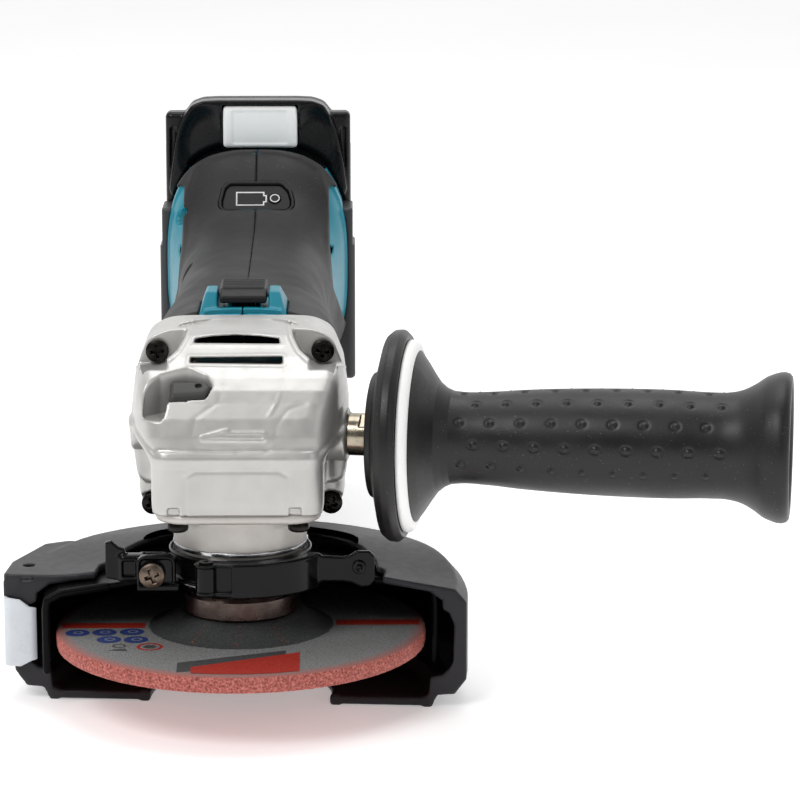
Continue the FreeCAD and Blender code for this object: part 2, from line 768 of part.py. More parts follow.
def make_housing():
    foot_half, foot_back = size("foot_half"), size("foot_back")
    foot_low, foot_top = size("foot_low"), size("foot_top")
    recess = foot_back - 13
    arch_top = SECTIONS[-1][3]
    axis_height = size("rotor_height")
    solid = barrel(0).fuse([
        rear_arch(0, SECTIONS[-1][0], foot_back),
        block((-foot_half, foot_half), (238, foot_back), (foot_low, foot_top)),
    ])
    axis, along_x = Vector(0, 1, 0), Vector(1, 0, 0)

    def bore(radius, start, end):
        return Part.makeCylinder(radius, end - start, Vector(0, start, axis_height), axis)

    rails = [block(side, (foot_back - 4, foot_back), (foot_low, arch_top))
             for side in ((-31, -27), (27, 31))]
    channel = block((-31, 31), (recess, foot_back), (foot_low + 4, arch_top)).cut(
        Part.makeCompound(rails))
    hollow = [
        bore(size("fan_room_radius"), 44, 53),
        bore(size("stator_radius") + 0.05, 52, 103),
        bore(size("rear_bearing_radius"), 102, size("rear_bearing_at") + 6),
        block((-20, 20), (114, 161), (44, 82)),
        block((-22.6, 22.6), (160, 214), (43.5, 78)),
        block((-24, 24), (213, 238), (44, 88)),
        block((-6, 6), (46, 83), (87.2, 110)),
        block((-5, 5), (60, 132), (87.2, 90.4)),
        block((-9, 9), (114, 160), (80, 90.4)),
        block((-14, 14), (236, 250), (46, 74)),
        channel,
    ]
    for x, y, z in UPPER_SCREWS + LOWER_SCREWS:
        hollow.append(Part.makeCylinder(size("screw_radius"), 60, Vector(float(x), 30, float(z)), axis))
    for y, z in HOUSING_SCREWS:
        hollow.append(Part.makeCylinder(1.8, 34, Vector(HEAD_SEAT, y, z), along_x))
        hollow.append(Part.makeCylinder(3.6, 25, Vector(HEAD_SEAT - 25, y, z), along_x))
    shell = solid.cut(hollow)
    gauge_seat = gauge_block(0.4, 8)
    shell = shell.cut(gauge_seat)
    for name, side in (("housing_left", (-60, 0)), ("housing_right", (0, 60))):
        half = shell.common(block(side, (0, 300), (0, 160)))
        sub_part(shaped(name, largest(half)))
    skin = barrel(size("rubber_thickness"), 1).cut(barrel(0))
    heads = [Part.makeCylinder(3.6, 25, Vector(HEAD_SEAT - 25, y, z), along_x)
             for y, z in HOUSING_SCREWS]
    trimmed = skin.cut(heads + [
        block((-14, 14), (0, 86), (84, 120)),
        block((-60, 60), (0, 62), (0, 160)),
        block((-60, 60), (237, 300), (0, 160)),
        block((-60, -22), (0, 98), (46, 82)),
        block((22, 60), (0, 98), (46, 82)),
        block((-60, -26), (190, 300), (46, 104)),
        block((26, 60), (190, 300), (46, 104)),
        gauge_seat,
    ])
    for name, side in (("grip_rubber_left", (-60, 0)), ("grip_rubber_right", (0, 60))):
        sub_part(shaped(name, trimmed.common(block(side, (0, 300), (0, 160)))))


def largest(shape):
    """The main solid of a cut shape, without chips that the cut leaves behind."""
    return max(shape.Solids, key=lambda solid: solid.Volume)


HOUSING_SCREWS = [(120, 40), (170, 40.2), (170, 85), (228, 38), (228, 98)]
HEAD_SEAT = -16


def make_housing_screws():
    """Cross-head screws that draw the two halves together, entered from the left."""
    screws = []
    for y, z in HOUSING_SCREWS:
        shank = Part.makeCylinder(1.8, 30, Vector(HEAD_SEAT, y, z), Vector(1, 0, 0))
        head = Part.makeCylinder(3.2, 2.4, Vector(HEAD_SEAT - 2.4, y, z), Vector(1, 0, 0))
        screws.append(shank.fuse(head))
    sub_part(shaped("housing_screws", Part.makeCompound(screws)))


# ---------------------------------------------------------------- gauge, switch and electrics

GAUGE_TILT = 45
GAUGE_CENTRE = Vector(0, 224.5, 106.6)


def gauge_block(margin, high):
    """The gauge panel's block, lying on the slope of the housing's back."""
    panel = block((-13 - margin, 13 + margin), (-6 - margin, 6 + margin), (-4, high))
    panel.rotate(Vector(), Vector(1, 0, 0), GAUGE_TILT)
    panel.translate(GAUGE_CENTRE)
    return panel


def gauge_button_bar(radius, low, high):
    """The check button's round bar, square to the sloping panel."""
    bar = Part.makeCylinder(radius, high - low, Vector(7.5, 0, low))
    bar.rotate(Vector(), Vector(1, 0, 0), GAUGE_TILT)
    bar.translate(GAUGE_CENTRE)
    return bar


def make_gauge():
    sub_part(shaped("gauge_panel", gauge_block(0, 1.4).cut(gauge_button_bar(2.2, -6, 6))))
    sub_part(shaped("gauge_button", gauge_button_bar(2.1, -2.2, 1.7)))


def make_switch():
    pad = box("slider_pad", ("-slider_half", "slider_at", "94.2"),
              ("2 * slider_half", "slider_length", "slider_top - 94.2"))
    stem = box("slider_stem", ("-4", "slider_at + 8", "90.2"), ("8", "10", "4.5"))
    sub_part(joined("switch_slider", [pad, stem]))
    in_place(box("switch_link", ("-3.5", "slider_at + 8", "88"), ("7", "66", "2.2")))
    on_housing = barrel(0.05, 0, 4)
    lugs = [block(side, (47, 76), (89, 99.4)).cut(on_housing) for side in ((-13.2, -8.9), (8.9, 13.2))]
    sub_part(shaped("switch_guide", Part.makeCompound(lugs)))
    unit = box("switch_body", ("-8", "132", "64"), ("16", "26", "22"))
    slot = box("switch_slot", ("-5", "131", "85"), ("10", "10", "6"))
    sub_part(cut("switch_unit", unit, [slot]))


def make_electrics():
    in_place(box("controller_board", ("-22", "163", "44"), ("44", "40", "14")))
    carrier = box("terminal_carrier", ("-13.5", "238.5", "47"), ("27", "10", "26"))
    blades = [box(f"blade_{side}", (x, "248", "50"), ("1.2", "6", "20"))
              for side, x in (("left", "-10.6"), ("right", "9.4"))]
    sub_part(joined("terminal_block", [carrier] + blades))
    wires = []
    for x in (-6, 0, 6):
        wires.append(Part.makeCylinder(1.1, 48, Vector(x, 114.6, 50), Vector(0, 1, 0)))
    battery_leads = [Part.makeCylinder(1.4, 32, Vector(x, 204, 62), Vector(0, 1, 0)) for x in (-8, 8)]
    sub_part(shaped("lead_wires", Part.makeCompound(wires + battery_leads)))


# ---------------------------------------------------------------- battery

HOOD = [(36.5, 99.6), (36, 112), (33, 122), (28, 131), (21, 137.2), (12, 139.8)]
HOOD_FACE = 256
HOOD_RIDGE = 272.5
HOOD_END = 290


def battery_hood(face, end):
    """The arch over the battery's latch button, seen from the front, with a sloping back."""
    top, shoulder = size("battery_top"), size("battery_shoulder")
    points = HOOD + [(-x, z) for x, z in reversed(HOOD)]
    front = Part.makePolygon([Vector(x, face, z) for x, z in points + points[:1]])
    arch = Part.Face(front).extrude(Vector(0, end - face, 0))
    side = [(face, 90), (face, top), (HOOD_RIDGE, top), (end, shoulder), (end, 90), (face, 90)]
    slope = Part.Face(Part.makePolygon([Vector(-50, y, z) for y, z in side]))
    return arch.common(slope.extrude(Vector(100, 0, 0)))


def make_battery():
    half, wall = size("battery_half"), size("battery_wall")
    low, top, back = size("battery_low"), size("battery_shoulder"), size("battery_back")
    face = size("foot_back") + 0.4
    split = face + 3
    recess = size("foot_back") - 13
    top_of_hood = size("battery_top")
    button_room = block((-14.4, 16.4), (recess, HOOD_RIDGE - 1.5), (120.5, top_of_hood - 1.2))
    hood = battery_hood(HOOD_FACE, HOOD_END).cut(rear_arch(0.6, 250, face))
    case = block((-half, half), (split, back), (low, top))
    case = case.makeFillet(6, [e for e in case.Edges if abs(e.CenterOfMass.y - back) < 1e-6])
    inside = block((-half + wall, half - wall), (split - 1, back - wall), (low + wall, top - wall))
    tray = block((-15.5, 17.5), (split, HOOD_RIDGE), (118.5, top - wall))
    behind = hood.common(block((-60, 60), (split, 300), (top, 150)))
    sub_part(shaped("battery_case", case.cut(inside).fuse([tray, behind]).cut(button_room)))
    lid = block((-half, half), (face, split), (low, top)).fuse([
        block((-30.5, 30.5), (recess + 0.6, recess + 8.4), (37, 108)),
        block((-26.5, 26.5), (recess + 0.6, face), (37, 113)),
        hood.common(block((-60, 60), (250, split), (90, 150))),
        block((-half, -31), (face, split), (top, 131)),
        block((31, half), (face, split), (top, 131)),
    ])
    blade_slots = [block((x - 0.4, x + 1.6), (recess - 1, recess + 8), (30, 78))
                   for x in (-10.6, 9.4)]
    sub_part(shaped("battery_lid", lid.cut(blade_slots + [button_room])))
    radius, length = size("cell_radius"), size("cell_length")
    spacing = 2 * radius + 0.2
    cells = [Part.makeCylinder(radius, length,
                               Vector(-length / 2, split + 21 + (spacing + 0.2) * column,
                                      low + wall + radius + 0.1 + spacing * row), Vector(1, 0, 0))
             for row in range(5) for column in range(2)]
    sub_part(shaped("battery_cells", Part.makeCompound(cells)))
    clips = [block((x, x + 0.8), (split + 0.3, split + 9), (50, 66)) for x in (-12, -9.2, 8, 10.8)]
    sub_part(shaped("battery_terminals", Part.makeCompound(clips)))
    button = block((-14, 16), (HOOD_FACE, 266), (121, 138))
    sub_part(shaped("battery_button", button.makeFillet(1.5, button.Edges)))


# ---------------------------------------------------------------- guard

LEVER_PIVOT = (-10.5, -27)
COVER_EAR = [(-80, -4), (-50, -4), (-47, 35), (-66, 42), (-73, 38), (-79, 15)]


def wedge(radius, inner, low, high, start, end):
    """Part of a ring about the spindle's axis, between two angles from +X."""
    angle = end - start
    whole = Part.makeCylinder(radius, high - low, Vector(0, 0, low), Vector(0, 0, 1), angle)
    whole = whole.cut(Part.makeCylinder(inner, high - low, Vector(0, 0, low)))
    whole.rotate(Vector(), Vector(0, 0, 1), start)
    return whole


def on_guard(name, shape):
    """A steel guard piece, turned about the spindle's axis."""
    return sub_part(shaped(name, shape), "0", Rotation(Vector(0, 0, 1), size("guard_turn")))


def make_guard():
    radius, steel = size("guard_radius"), size("guard_steel")
    top, low = size("guard_plate_top"), size("guard_low")
    hole = size("collar_radius") + size("slip")
    plate_ring = wedge(radius, hole, top - steel, top, -5, 185)
    collar = wedge(26, hole, top - steel, top, 0, 360)
    skirt = wedge(radius, radius - steel, low, top, -5, 185)
    on_guard("guard_shell", plate_ring.fuse([collar, skirt]).removeSplitter())
    on_guard("guard_band", wedge(size("band_radius"), hole, top + 0.1, size("band_top"), -78, 256))
    lug = block((-34, -24.5), (-22, -8), (top + 0.2, 22.6))
    ear = block((-45, -37), (-20, -4), (top + 0.2, 24))
    bridge = block((-38, -33), (-16, -10), (top + 0.2, 22.6))
    drill = Part.makeCylinder(2.5, 14, Vector(-28.5, -24, 17.4), Vector(0, 1, 0))
    sub_part(shaped("clamp_bracket", lug.fuse([ear, bridge]).cut(drill)))
    screw = Part.makeCylinder(2.5, 12, Vector(-28.5, -22, 17.4), Vector(0, 1, 0))
    head = Part.makeCylinder(4.4, 3.6, Vector(-28.5, -25.6, 17.4), Vector(0, 1, 0))
    sub_part(shaped("clamp_screw", screw.fuse(head)))
    sub_part(shaped("lever_pin", Part.makeCylinder(1.8, 10.8, Vector(*LEVER_PIVOT, 12.5))))


def make_guard_lever():
    arm = wedge(30.4, 28, 12.9, 22.8, -107, -28)
    boss = Part.makeCylinder(3.9, 9.9, Vector(*LEVER_PIVOT, 12.9))
    tab = block((24.6, 45.5), (-14.6, -12.6), (12.9, 24))
    pin_hole = Part.makeCylinder(1.8 + size("slip"), 20, Vector(*LEVER_PIVOT, 8))
    rivet_hole = Part.makeCylinder(1.6, 8, Vector(40, -18, 18), Vector(0, 1, 0))
    sub_part(shaped("guard_lever", arm.fuse([boss, tab]).cut([pin_hole, rivet_hole])))
    rivet = Part.makeCylinder(1.6, 3.2, Vector(40, -15.2, 18), Vector(0, 1, 0))
    rivet_head = Part.makeCylinder(2.4, 0.6, Vector(40, -15.2, 18), Vector(0, 1, 0))
    sub_part(shaped("lever_rivet", rivet.fuse(rivet_head)))


def make_guard_cover():
    radius, wall = size("cover_radius"), size("cover_wall")
    top, low = size("cover_top"), size("cover_low")
    middle = (top + low) / 2
    whole = wedge(radius, 1, low, top, -8, 181)
    room = Part.makeCylinder(radius - wall, top - low - 2 * wall, Vector(0, 0, low + wall))
    roof_opening = Part.makeCylinder(size("cover_top_opening"), top - middle, Vector(0, 0, middle))
    floor_opening = Part.makeCylinder(size("cover_low_opening"), middle - low, Vector(0, 0, low))
    cover = whole.cut([room, roof_opening, floor_opening])
    window = block((67.5, 74), (-14, 4), (-17, 0))
    corners = [Vector(x, y, top - 3) for x, y in COVER_EAR + COVER_EAR[:1]]
    ear = Part.Face(Part.makePolygon(corners)).extrude(Vector(0, 0, 3))
    ear = ear.cut(Part.makeCylinder(radius - wall, 3, Vector(0, 0, top - 3)))
    ear_hole = Part.makeCylinder(1.8, 10, Vector(-76, 7, top - 5))
    sub_part(shaped("guard_cover", largest(cover.cut(window).fuse(ear).cut(ear_hole))))
    sub_part(shaped("cover_side_plate", block((-80, -68), (-4.4, -2.2), (-19.6, 3.4))))


# ---------------------------------------------------------------- side handle

def about_bolt(item):
    """A side handle piece, turned about its bolt, which leans forward."""
    return sub_part(item, "handle_height", Rotation(Vector(0, 0, 1), -size("handle_lead")))


def make_side_handle():
    about_bolt(turned("handle_bolt", "X", [
        ("gear_room_radius + 2", "0"),
        ("gear_room_radius + 2", "bolt_radius"),
        ("90", "bolt_radius"),
        ("90", "0"),
    ]))
    about_bolt(ring("handle_sleeve", "X", "bolt_radius", "sleeve_radius",
                    "boss_end + 0.2", "boss_end + 10"))
    about_bolt(turned("handle_flange", "X", [
        ("47", "bolt_radius"),
        ("47", "10"),
        ("52", "30"),
        ("51.5", "36.5"),
        ("56", "36.5"),
        ("57", "35"),
        ("57", "24"),
        ("66", "15"),
        ("66", "bolt_radius"),
    ]))
    about_bolt(turned("handle_ring", "X", [
        ("57", "25.5"),
        ("57", "33.5"),
        ("59.6", "32.5"),
        ("59.6", "26.5"),
    ]))
    about_bolt(turned("handle_grip", "X", [
        ("66", "bolt_radius"),
        ("66", "15"),
        ("78", "15.6"),
        ("104", "18"),
        ("150", "18"),
        ("163", "19.5"),
        ("174", "23.6"),
        ("grip_end - 4", "24.5"),
        ("grip_end", "22.5"),
        ("grip_end", "12"),
        ("grip_end - 2.5", "11"),
        ("grip_end - 2.5", "0"),
        ("90", "0"),
        ("90", "bolt_radius"),
    ]))


def check_and_write():
    """Stop on any failed object, then write one STEP file for each sub-part."""
    doc.recompute()
    for item in doc.Objects:
        if "Invalid" in item.State or "Error" in item.State:
            raise RuntimeError(f"{item.Name} failed: {item.State}")
    os.makedirs("parts", exist_ok=True)
    for item in sub_parts:
        if item.Shape.isNull() or not item.Shape.isValid() or not item.Shape.Solids:
            raise RuntimeError(f"{item.Label} has no valid solid")
        item.Shape.exportStep(f"parts/{item.Label}.step")
    print(len(sub_parts), "sub-parts written")


make_spindle()
make_wheel_clamping()
make_spindle_bearings()
make_bearing_balls()
make_crown_gear()
make_drive_pinion()
make_rotor()
make_rotor_bearings()
make_fan()
make_stator()
make_bearing_box()
make_gear_housing()
make_shaft_lock()
make_housing()
make_housing_screws()
make_gauge()
make_switch()
make_electrics()
make_battery()
make_guard()
make_guard_lever()
make_guard_cover()
make_side_handle()
check_and_write()
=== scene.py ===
import functools
import json
import math

import bpy
import numpy as np
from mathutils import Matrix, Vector

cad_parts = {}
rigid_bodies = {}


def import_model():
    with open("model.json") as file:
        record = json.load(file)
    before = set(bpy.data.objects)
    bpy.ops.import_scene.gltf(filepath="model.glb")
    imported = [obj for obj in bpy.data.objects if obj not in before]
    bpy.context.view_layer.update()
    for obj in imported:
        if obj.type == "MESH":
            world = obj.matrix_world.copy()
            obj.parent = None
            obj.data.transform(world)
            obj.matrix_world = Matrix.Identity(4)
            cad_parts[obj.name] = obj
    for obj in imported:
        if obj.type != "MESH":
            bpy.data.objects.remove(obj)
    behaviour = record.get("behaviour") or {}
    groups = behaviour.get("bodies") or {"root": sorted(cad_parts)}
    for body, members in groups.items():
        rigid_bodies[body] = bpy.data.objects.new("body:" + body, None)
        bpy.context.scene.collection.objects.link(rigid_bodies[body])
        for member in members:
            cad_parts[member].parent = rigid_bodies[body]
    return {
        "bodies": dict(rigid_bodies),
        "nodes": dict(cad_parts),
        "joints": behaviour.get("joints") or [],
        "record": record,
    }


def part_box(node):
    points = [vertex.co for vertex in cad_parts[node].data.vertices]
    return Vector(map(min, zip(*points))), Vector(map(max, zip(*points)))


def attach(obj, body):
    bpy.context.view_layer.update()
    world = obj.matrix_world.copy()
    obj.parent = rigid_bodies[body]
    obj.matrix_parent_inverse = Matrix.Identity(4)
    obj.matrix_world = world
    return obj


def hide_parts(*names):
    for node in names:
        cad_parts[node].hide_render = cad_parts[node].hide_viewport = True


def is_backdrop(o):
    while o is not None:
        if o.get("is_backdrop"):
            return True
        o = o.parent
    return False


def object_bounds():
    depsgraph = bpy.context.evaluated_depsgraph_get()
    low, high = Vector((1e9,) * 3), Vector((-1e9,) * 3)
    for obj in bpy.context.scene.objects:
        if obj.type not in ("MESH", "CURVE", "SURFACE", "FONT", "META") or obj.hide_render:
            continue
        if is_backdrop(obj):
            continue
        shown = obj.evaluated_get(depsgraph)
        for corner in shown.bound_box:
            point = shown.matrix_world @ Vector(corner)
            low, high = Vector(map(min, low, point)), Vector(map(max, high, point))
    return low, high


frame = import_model()
CAD_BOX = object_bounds()

# Shapes are written in millimetres with the wheel's seat at height 0, the spindle along Z and
# the motor running back along +Y. SEAT lifts them into the frame, and MM turns them to metres.
MM = 0.001
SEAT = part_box("grinding_wheel")[1][2]
ROTOR = 60.0
COARSE = 1.0


# ---------------------------------------------------------------- fields
# A field is a signed distance in millimetres, negative inside, taken from x, y, z arrays.

def smax(a, b, k):
    """The larger of two fields, with the crease between them rounded over about k."""
    h = np.maximum(k - np.abs(a - b), 0) / k
    return np.maximum(a, b) + h * h * k * 0.25


def smin(a, b, k):
    """The smaller of two fields, rounded the same way."""
    return -smax(-a, -b, k)


def cut(solid, tool, k):
    """One field with another taken away from it, with edges rounded over about k."""
    return smax(solid, -tool, k)


def union(parts):
    """The nearest of several fields."""
    return functools.reduce(np.minimum, parts)


def ramp(t):
    """A smooth step from 0 to 1."""
    t = np.clip(t, 0, 1)
    return t * t * (3 - 2 * t)


def corner_blend(parts, r):
    """Distance to where several slabs overlap, with outer edges rounded by r."""
    outside, inside = 0.0, -1e6
    for part in parts:
        outside = outside + np.maximum(part + r, 0) ** 2
        inside = np.maximum(inside, part + r)
    return np.sqrt(outside) + np.minimum(inside, 0) - r


def span(c, low, high):
    """Distance to a slab between two values."""
    return np.abs(c - (low + high) / 2) - (high - low) / 2


def box(p, x, y, z, r=0.5):
    """A block from three (low, high) pairs, with rounded edges."""
    return corner_blend([span(p[0], *x), span(p[1], *y), span(p[2], *z)], r)


def upright(p, x, y, z, r, edge=0.5):
    """A block whose vertical edges are rounded by r and whose others are rounded by edge."""
    wall = corner_blend([span(p[0], *x), span(p[1], *y)], r)
    return corner_blend([wall, span(p[2], *z)], edge)


def bar(p, axis, centre, radius, ends, r=0.4):
    """A round bar along an axis, 0, 1 or 2, through a centre given by the other two."""
    others = [p[i] for i in range(3) if i != axis]
    across = np.sqrt((others[0] - centre[0]) ** 2 + (others[1] - centre[1]) ** 2) - radius
    return corner_blend([across, span(p[axis], *ends)], r)


def polygon(u, v, corners, r=0.0):
    """Distance to a closed polygon, grown by r so that its outer corners are round."""
    pts = [np.array(c, dtype=np.float32) for c in corners]
    best = (u - pts[0][0]) ** 2 + (v - pts[0][1]) ** 2
    sign = np.ones_like(best)
    for a, b in zip(pts, pts[-1:] + pts[:-1]):
        e = b - a
        wu, wv = u - a[0], v - a[1]
        t = np.clip((wu * e[0] + wv * e[1]) / float(e @ e), 0, 1)
        best = np.minimum(best, (wu - e[0] * t) ** 2 + (wv - e[1] * t) ** 2)
        above, below, turn = v >= a[1], v < b[1], e[0] * wv > e[1] * wu
        flip = (above & below & turn) | (~above & ~below & ~turn)
        sign = np.where(flip, -sign, sign)
    return sign * np.sqrt(best) - r


def polyline(u, v, corners):
    """Distance to an open line."""
    best = None
    for a, b in zip(corners[:-1], corners[1:]):
        eu, ev = b[0] - a[0], b[1] - a[1]
        t = np.clip(((u - a[0]) * eu + (v - a[1]) * ev) / (eu * eu + ev * ev), 0, 1)
        d = np.hypot(u - a[0] - eu * t, v - a[1] - ev * t)
        best = d if best is None else np.minimum(best, d)
    return best


def squircle(u, v, half_u, half_v, power):
    """Near-distance to a shape between an ellipse and a rectangle."""
    a, b = np.abs(u) / half_u, np.abs(v) / half_v
    level = (a ** power + b ** power + 1e-9) ** (1 / power)
    return (level - 1) * np.hypot(u, v) / np.maximum(level, 0.15) * 0.97


def turned(p, angle, axis=2, centre=(0, 0, 0)):
    """Points turned back by an angle in degrees, so that what is built on them is turned forward."""
    a = math.radians(-angle)
    i, j = [(1, 2), (2, 0), (0, 1)][axis]
    q = [p[k] - centre[k] for k in range(3)]
    u, v = q[i], q[j]
    q[i], q[j] = u * math.cos(a) - v * math.sin(a), u * math.sin(a) + v * math.cos(a)
    return [q[k] + centre[k] for k in range(3)]


def inset(corners, r):
    """An outline moved inward by r; its corners are listed anticlockwise."""
    out = []
    count = len(corners)
    for i, point in enumerate(corners):
        p = np.array(point, dtype=float)
        a = p - np.array(corners[i - 1])
        b = np.array(corners[(i + 1) % count]) - p
        a, b = a / np.linalg.norm(a), b / np.linalg.norm(b)
        normal_a, normal_b = np.array([-a[1], a[0]]), np.array([-b[1], b[0]])
        middle = normal_a + normal_b
        out.append(tuple(p + middle * r / max(float(middle @ normal_a), 0.2)))
    return out


def soft_polygon(u, v, corners, r):
    """Distance to a polygon, listed anticlockwise, whose outer corners are rounded by r."""
    return polygon(u, v, inset(corners, r), r)


def along(y, stations, column):
    """A value read between stations, eased so that it has no kinks."""
    ys = np.array([s[0] for s in stations], dtype=float)
    vs = np.array([s[column] for s in stations], dtype=float)
    slopes = np.gradient(vs, ys)
    i = np.clip(np.searchsorted(ys, y) - 1, 0, len(ys) - 2)
    width = ys[i + 1] - ys[i]
    t = np.clip((y - ys[i]) / width, 0, 1)
    return ((2 * t ** 3 - 3 * t ** 2 + 1) * vs[i] + (t ** 3 - 2 * t ** 2 + t) * width * slopes[i]
            + (3 * t ** 2 - 2 * t ** 3) * vs[i + 1] + (t ** 3 - t ** 2) * width * slopes[i + 1])


def bead(distance, width):
    """A soft rounded profile: 1 on a line and 0 beyond about twice its width."""
    return np.exp(-(distance / width) ** 2)


# ---------------------------------------------------------------- meshing

def sample(field, low, high, step):
    """A field's values on a grid, worked out in slabs to save memory."""
    axes = [np.arange(a, b + step, step, dtype=np.float32) for a, b in zip(low, high)]
    values = np.empty([len(a) for a in axes], dtype=np.float32)
    for start in range(0, len(axes[0]), 24):
        part = np.meshgrid(axes[0][start:start + 24], axes[1], axes[2], indexing="ij", sparse=True)
        values[start:start + 24] = field(part)
    return values


def surface_net(field, low, high, step):
    """Vertices and quads of a field's zero surface: one vertex in each cell that it crosses."""
    values = sample(field, low, high, step)
    inside = values < 0
    shape = np.array(values.shape) - 1
    offsets = [(i, j, k) for i in (0, 1) for j in (0, 1) for k in (0, 1)]
    total = sum(inside[i:i + shape[0], j:j + shape[1], k:k + shape[2]].astype(np.int8)
                for i, j, k in offsets)
    cells = np.argwhere((total > 0) & (total < 8))
    index = np.full(shape, -1, dtype=np.int64)
    index[tuple(cells.T)] = np.arange(len(cells))
    corner = {o: values[tuple((cells + o).T)] for o in offsets}
    point, hits = np.zeros((len(cells), 3)), np.zeros(len(cells))
    for o in offsets:
        for axis in range(3):
            if o[axis]:
                continue
            far = tuple(1 if i == axis else o[i] for i in range(3))
            a, b = corner[o], corner[far]
            crossed = (a < 0) != (b < 0)
            t = np.where(crossed, a / np.where(crossed, a - b, 1), 0)
            spot = np.array(o, dtype=float)[None, :].repeat(len(cells), 0)
            spot[:, axis] += t
            point += spot * crossed[:, None]
            hits += crossed
    verts = np.array(low) + (cells + point / hits[:, None]) * step
    quads = []
    for axis in range(3):
        b, c = [i for i in range(3) if i != axis]
        first = inside.take(range(shape[axis]), axis=axis)
        second = inside.take(range(1, shape[axis] + 1), axis=axis)
        edges = np.argwhere(first != second)
        keep = (edges[:, b] > 0) & (edges[:, c] > 0) & (edges[:, b] < shape[b]) & (
            edges[:, c] < shape[c])
        edges = edges[keep]
        around = []
        for db, dc in ((-1, -1), (0, -1), (0, 0), (-1, 0)):
            cell = edges.copy()
            cell[:, b] += db
            cell[:, c] += dc
            around.append(index[tuple(cell.T)])
        face = np.stack(around, 1)
        leaving = first[tuple(edges.T)]
        if axis == 1:
            leaving = ~leaving
        face[~leaving] = face[~leaving][:, ::-1]
        quads.append(face)
    return verts, np.concatenate(quads)


def settle(field, verts, step):
    """Move vertices onto the exact surface along the field's slope."""
    small = 0.04
    for _ in range(3):
        p = [verts[:, i].astype(np.float64) for i in range(3)]
        value = field(p)
        slope = []
        for i in range(3):
            ahead, behind = list(p), list(p)
            ahead[i], behind[i] = p[i] + small, p[i] - small
            slope.append((field(ahead) - field(behind)) / (2 * small))
        slope = np.stack(slope, 1)
        move = slope * (value / np.maximum((slope ** 2).sum(1), 0.05))[:, None]
        length = np.linalg.norm(move, axis=1, keepdims=True)
        verts = verts - move * np.minimum(1, 0.5 * step / np.maximum(length, 1e-9))
    return verts


def lift(verts):
    """Model millimetres to frame metres."""
    return np.asarray(verts, dtype=np.float64) * MM + (0, 0, SEAT)


def new_object(name, verts, faces, smooth=True):
    """An object from arrays of vertices, in metres, and of equal-sided faces."""
    mesh = bpy.data.meshes.new(name)
    faces = np.asarray(faces)
    sides = faces.shape[1]
    mesh.vertices.add(len(verts))
    mesh.vertices.foreach_set("co", np.asarray(verts, dtype=np.float32).ravel())
    mesh.loops.add(faces.size)
    mesh.loops.foreach_set("vertex_index", faces.astype(np.int32).ravel())
    mesh.polygons.add(len(faces))
    mesh.polygons.foreach_set("loop_start", np.arange(0, faces.size, sides, dtype=np.int32))
    mesh.polygons.foreach_set("loop_total", np.full(len(faces), sides, dtype=np.int32))
    mesh.update(calc_edges=True)
    mesh.validate()
    obj = bpy.data.objects.new(name, mesh)
    bpy.context.collection.objects.link(obj)
    if smooth:
        mesh.shade_smooth()
    return obj


def carve(name, field, low, high, step, body, material, nodes=()):
    """Mesh a field inside a box, dress it, and put it on its body."""
    step *= COARSE
    verts, quads = surface_net(field, low, high, step)
    verts = settle(field, verts, step)
    obj = new_object(name, lift(verts), quads)
    return dress(obj, body, material, nodes)


def dress(obj, body, material, nodes=()):
    """Give a piece its material and its body, and hide the CAD nodes that it stands for."""
    obj.data.materials.append(material)
    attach(obj, body)
    if nodes:
        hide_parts(*nodes)
    return obj


def lathe(name, profile, steps, body, material, nodes=(), bend=None, place=None):
    """A turned piece from (radius, height) pairs, reshaped by bend and laid in its place by place."""
    profile = np.array(profile, dtype=float)
    steps = max(24, int(steps / COARSE))
    turn = np.linspace(0, 2 * math.pi, steps, endpoint=False)
    r, h = profile[:, 0][:, None], profile[:, 1][:, None]
    x, y, z = r * np.cos(turn), r * np.sin(turn), np.broadcast_to(h, (len(profile), steps))
    verts = np.stack([x, y, z], -1).reshape(-1, 3)
    if bend is not None:
        verts = bend(verts)
    if place is not None:
        verts = place(verts)
    rows = len(profile)
    faces = []
    for i in range(rows):
        a = i * steps + np.arange(steps)
        b = ((i + 1) % rows) * steps + np.arange(steps)
        faces.append(np.stack([a, np.roll(a, -1), np.roll(b, -1), b], 1))
    obj = new_object(name, lift(verts), np.concatenate(faces))
    return dress(obj, body, material, nodes)


def rounded(points, radii, steps=6):
    """An outline with each corner replaced by an arc of its own radius."""
    out = []
    count = len(points)
    for i, (point, r) in enumerate(zip(points, radii)):
        p = np.array(point, dtype=float)
        a = np.array(points[i - 1], dtype=float) - p
        b = np.array(points[(i + 1) % count], dtype=float) - p
        la, lb = np.linalg.norm(a), np.linalg.norm(b)
        if r <= 0 or la < 1e-6 or lb < 1e-6:
            out.append(tuple(p))
            continue
        a, b = a / la, b / lb
        half = math.acos(max(-1, min(1, float(a @ b)))) / 2
        reach = min(r / max(math.tan(half), 1e-3), 0.49 * la, 0.49 * lb)
        r = reach * math.tan(half)
        start, end = p + a * reach, p + b * reach
        centre = p + (a + b) / np.linalg.norm(a + b) * (r / max(math.sin(half), 1e-3))
        for t in np.linspace(0, 1, steps):
            spoke = (start - centre) * (1 - t) + (end - centre) * t
            out.append(tuple(centre + spoke / np.linalg.norm(spoke) * r))
    return out


# ---------------------------------------------------------------- materials

